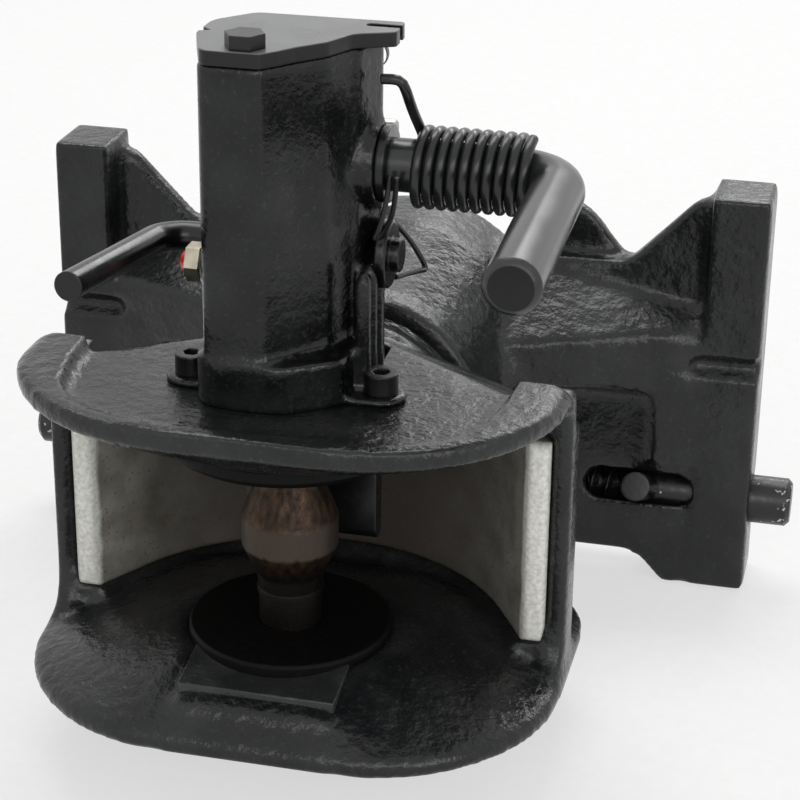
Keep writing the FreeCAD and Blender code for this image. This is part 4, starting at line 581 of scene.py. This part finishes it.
def front_pad():
    """Raised pad in front of the lower disc, crisp where the lip round it is soft."""
    shape = bmesh.new()
    prism(shape, "YZ", [(-26, -12), (-26, -2.6), (-50, -6.6), (-50, -14)], -31, 31)
    bmesh.ops.bevel(shape, geom=shape.edges[:], offset=0.8 * MM, segments=3, profile=0.5, affect="EDGES",
                    material=-1)
    # The pad's lighter enamel is road dust and painted light.
    finished("front_pad", shape, DUSTY_LIT, "head")


def cast_housing():
    """The tower, with the ribs low on its right side."""
    rib_x, rib_r, rib_foot, rib_top = 29.5, 3.4, 99, 150
    profile = [(rib_foot, 0), (rib_foot, rib_r), (rib_top - 4, rib_r), (rib_top, 0)]
    shape = merged_copy("mechanism_housing")
    for y in (-2, 8, 18):
        turned(shape, "Z", (rib_x, y, 0), profile, 16)
    as_cast("housing_cast", "mechanism_housing", shape, 1.5, 5, TOWER, "head")


def cast_frame():
    """The frame, with the taller groove in each rail and the small round boss on its web."""
    groove_x, groove_z, groove_r, beyond_rail = 137.0, 49.0, 4.0, 170
    groove = arc((groove_x, groove_z), groove_r, 90, 270, 9)
    groove += [(beyond_rail, groove_z - groove_r), (beyond_rail, groove_z + groove_r)]
    filler = [(118, 174.3), (142, 180.6), (142, 192), (118, 192)]
    cutter = bmesh.new()
    for side in (-1, 1):
        prism(cutter, "XZ", mirrored(groove, side), 170, 186)
    shape = carved(merged_copy("frame_casting"), cutter)
    turned(shape, "Y", (55, 150, 47.5), [(-3.5, 0), (-3.5, 5.0), (-2, 7.0), (12, 8.0), (12, 0)], 32)
    for side in (-1, 1):
        for low, high in ((2, 44), (54, 60)):
            prism(shape, "XY", mirrored(filler, side), low, high)
    as_cast("frame_cast", "frame_casting", shape, 2.4, 5, CAST, "frame")


cast_jaw()
front_pad()
cast_housing()
cast_frame()


# Small pieces on the housing's right side
def release_disc():
    """Disc on the right end of the release shaft."""
    shape = bmesh.new()
    turned(shape, "X", (0, 18.9, 149.2), [
        (30.9, 0), (30.9, 12.2), (31.6, 13), (34.4, 13), (35.2, 12.2), (35.2, 6.5), (38.5, 6.5), (39, 6),
        (39, 0)])
    finished("release_disc", shape, BAR, "release")


def hanging_eye():
    """Small eye on the housing's rear top corner."""
    wire_r, eye_r, centre = 2.2, 5.2, point(25, 29.7, 223)
    shape = bmesh.new()
    ring = bmesh.ops.create_circle(shape, cap_ends=False, segments=12, radius=wire_r * MM,
                                   matrix=Matrix.Translation(centre + point(0, 0, eye_r)))
    bmesh.ops.spin(shape, geom=ring["verts"] + shape.edges[:], cent=centre, axis=(0, 1, 0),
                   angle=2 * math.pi, steps=32, use_merge=True)
    bmesh.ops.recalc_face_normals(shape, faces=shape.faces)
    finished("hanging_eye", shape, BAR, "head")


def pivot_screw():
    """Plated end of the screw beside the lever's flange."""
    shape = bmesh.new()
    turned(shape, "X", (0, 29.5, 195.0), [(28, 0), (28, 3.4), (33.4, 3.4), (34.2, 2.6), (34.2, 0)], 24)
    finished("pivot_screw", shape, ZINC, "head")


def squashed_coil(name, node, body, axis_name, thickness, turns, fixed_high):
    """A coil spring in the node's place, wound along axis_name."""
    low, high = (Vector(corner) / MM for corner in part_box(node))
    along = "XYZ".index(axis_name)
    across, up = (along + 1) % 3, (along + 2) % 3
    middle = (low + high) / 2
    coil_r = (high[up] - low[up] - thickness) / 2
    length = high[along] - low[along]
    per_turn = 12
    points = []
    for i in range(turns * per_turn + 1):
        angle = 2 * math.pi * i / per_turn
        place = middle.copy()
        place[along] = low[along] + thickness / 2 + (length - thickness) * i / (turns * per_turn)
        place[across] += coil_r * math.sin(angle)
        place[up] += coil_r * math.cos(angle)
        points.append(place)
    coil = wire(name, points, thickness, SPRING, body, 2)
    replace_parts(coil, node)
    anchor = middle * MM
    anchor[along] = (high if fixed_high else low)[along] * MM
    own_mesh(coil)


def lever_spring():
    """The lever's coil spring of round wire, with its upper leg bent to the housing."""
    start_x, pitch, coil_r, turns, per_turn = 43.0, 4.4, 13.9, 10, 16
    axis_y, axis_z = 20.5, 184.0
    points = [(31.5, 15.5, 217.5), (36, 15, 218), (39.5, 15.5, 217), (41.2, 18.5, 209), (42, 24, 202)]
    for i in range(2, turns * per_turn + 1):
        angle = 2 * math.pi * i / per_turn
        points.append((start_x + pitch * i / per_turn, axis_y + coil_r * math.sin(angle),
                       axis_z + coil_r * math.cos(angle)))
    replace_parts(wire("lever_spring", points, 4.0, SPRING, "head", 2), "torsion_spring")


release_disc()
lever_spring()
squashed_coil("pin_coil", "pin_spring", "head", "Z", 1.6, 9, True)
squashed_coil("locking_coil_left", "locking_spring_left", "frame", "X", 1.5, 6, True)
squashed_coil("locking_coil_right", "locking_spring_right", "frame", "X", 1.5, 6,
              False)
hanging_eye()
pivot_screw()
wire("hairpin_front", [(37, 6.9, 184), (36.5, 5.5, 176), (34.5, 3.4, 166), (32, 4, 160)], 2.0,
     BAR, "head")
wire("hairpin_rear", [(40, 5.3, 184), (39, 7.5, 176), (37, 9.2, 165), (32, 10, 158)], 2.0,
     BAR, "head")
wire("spring_clip", [(33, 30, 158), (36, 34.6, 153), (38, 48, 141), (40, 59, 129), (39, 47, 133),
                     (34, 30, 136)], 2.2, BAR, "head")


# Floor, light and camera
AMBIENT, WHITE = (0.35, 0.35, 0.35, 1.0), (1.0, 1.0, 1.0, 1.0)


def seen_rays(tree):
    """1 for the rays that show the background: straight from the camera, mirrored, or through glass."""
    direct = add(tree, "LightPath", output="Is Camera Ray")
    mirror = add(tree, "LightPath", output="Is Glossy Ray")
    through = add(tree, "LightPath", output="Is Transmission Ray")
    seen = add(tree, "Math", {0: direct, 1: mirror}, operation="MAXIMUM")
    return add(tree, "Math", {0: seen, 1: through}, operation="MAXIMUM")


def stage_floor():
    """Pale studio paper: it keeps the object's shadow and glows towards white where it is seen."""
    half_width, under_part, glow_share = 6.0, 0.5 * MM, 0.6
    mesh = bpy.data.meshes.new("floor")
    shape = bmesh.new()
    bmesh.ops.create_grid(shape, x_segments=1, y_segments=1, size=half_width,
                          matrix=Matrix.Translation((0, 0, start_low.z - under_part)))
    shape.to_mesh(mesh)
    shape.free()
    floor = bpy.data.objects.new("floor", mesh)
    bpy.context.scene.collection.objects.link(floor)
    material, tree, where = new_material("Pale studio paper")
    fibre = add(tree, "TexNoise", {"Vector": where, "Scale": per_metre(6), "Detail": 3.0})
    paler = add(tree, "MapRange", {"Value": fibre, "From Min": 0.35, "From Max": 0.65})
    tint = add(tree, "Mix", {SHARE: paler, UNDER: colour("#f1f1f0"), OVER: colour("#f6f6f5")}, MIXED,
               data_type="RGBA")
    normal = add(tree, "Bump", {"Height": fibre, "Distance": 0.02 * MM})
    paper = add(tree, "BsdfDiffuse", {"Color": tint, "Normal": normal})
    glow = add(tree, "Emission", {"Strength": 1.0})
    share = add(tree, "Math", {0: seen_rays(tree), 1: glow_share}, operation="MULTIPLY")
    lit = add(tree, "MixShader", {0: share, 1: paper, 2: glow})
    add(tree, "OutputMaterial", {"Surface": lit})
    dress(floor, material)


def softbox(name, place, target, width, height, radiance):
    """A rectangular lamp; radiance is how bright its face looks, with 1 as white."""
    lamp = bpy.data.lights.new(name, "AREA")
    lamp.shape = "RECTANGLE"
    lamp.size = width
    lamp.size_y = height
    lamp.energy = radiance * math.pi * width * height
    item = bpy.data.objects.new(name, lamp)
    bpy.context.scene.collection.objects.link(item)
    item.location = place
    item.rotation_euler = (Vector(target) - Vector(place)).to_track_quat("-Z", "Y").to_euler()


def studio_air():
    """A dim even world, white where it is seen."""
    world = bpy.data.worlds.new("studio")
    bpy.context.scene.world = world
    world.use_nodes = True
    tree = world.node_tree
    tree.nodes.clear()
    glow = add(tree, "Mix", {SHARE: seen_rays(tree), UNDER: AMBIENT, OVER: WHITE}, MIXED, data_type="RGBA")
    air = add(tree, "Background", {"Color": glow, "Strength": 1.0})
    add(tree, "OutputWorld", {"Surface": air})


def fitted_camera():
    """The camera as it was fitted to the photograph: place in metres, angles in degrees."""
    place, azimuth, elevation, tilt = Vector((0.224448, -0.768055, 0.445677)), 13.263, 23.749, 0.724
    turn, rise, roll = (math.radians(v) for v in (azimuth, elevation, tilt))
    back = Vector((math.sin(turn) * math.cos(rise), -math.cos(turn) * math.cos(rise), math.sin(rise)))
    level = Vector((math.cos(turn), math.sin(turn), 0))
    upright = back.cross(level)
    right = math.cos(roll) * level + math.sin(roll) * upright
    up = math.cos(roll) * upright - math.sin(roll) * level
    lens = bpy.data.cameras.new("camera")
    lens.sensor_width = 36.0
    lens.lens = 103.27
    camera = bpy.data.objects.new("camera", lens)
    bpy.context.scene.collection.objects.link(camera)
    camera.matrix_world = Matrix.LocRotScale(place, Matrix((right, up, back)).transposed(), None)
    bpy.context.scene.camera = camera


stage_floor()
softbox("ceiling", (-0.3, 0.9, 1.8), (0, 0.1, 0), 1.5, 0.9, 4.5)
softbox("back", (0.5, 2.3, 1.5), (0, 0, 0.1), 1.6, 0.5, 6.0)
softbox("front_right", (1.4, -1.2, 0.8), (0, 0, 0.1), 0.4, 1.2, 4.5)
softbox("front", (0.4, -2.3, 1.3), (0, 0, 0), 1.8, 0.9, 2.6)
studio_air()
fitted_camera()
bpy.context.scene.view_settings.view_transform = "Standard"
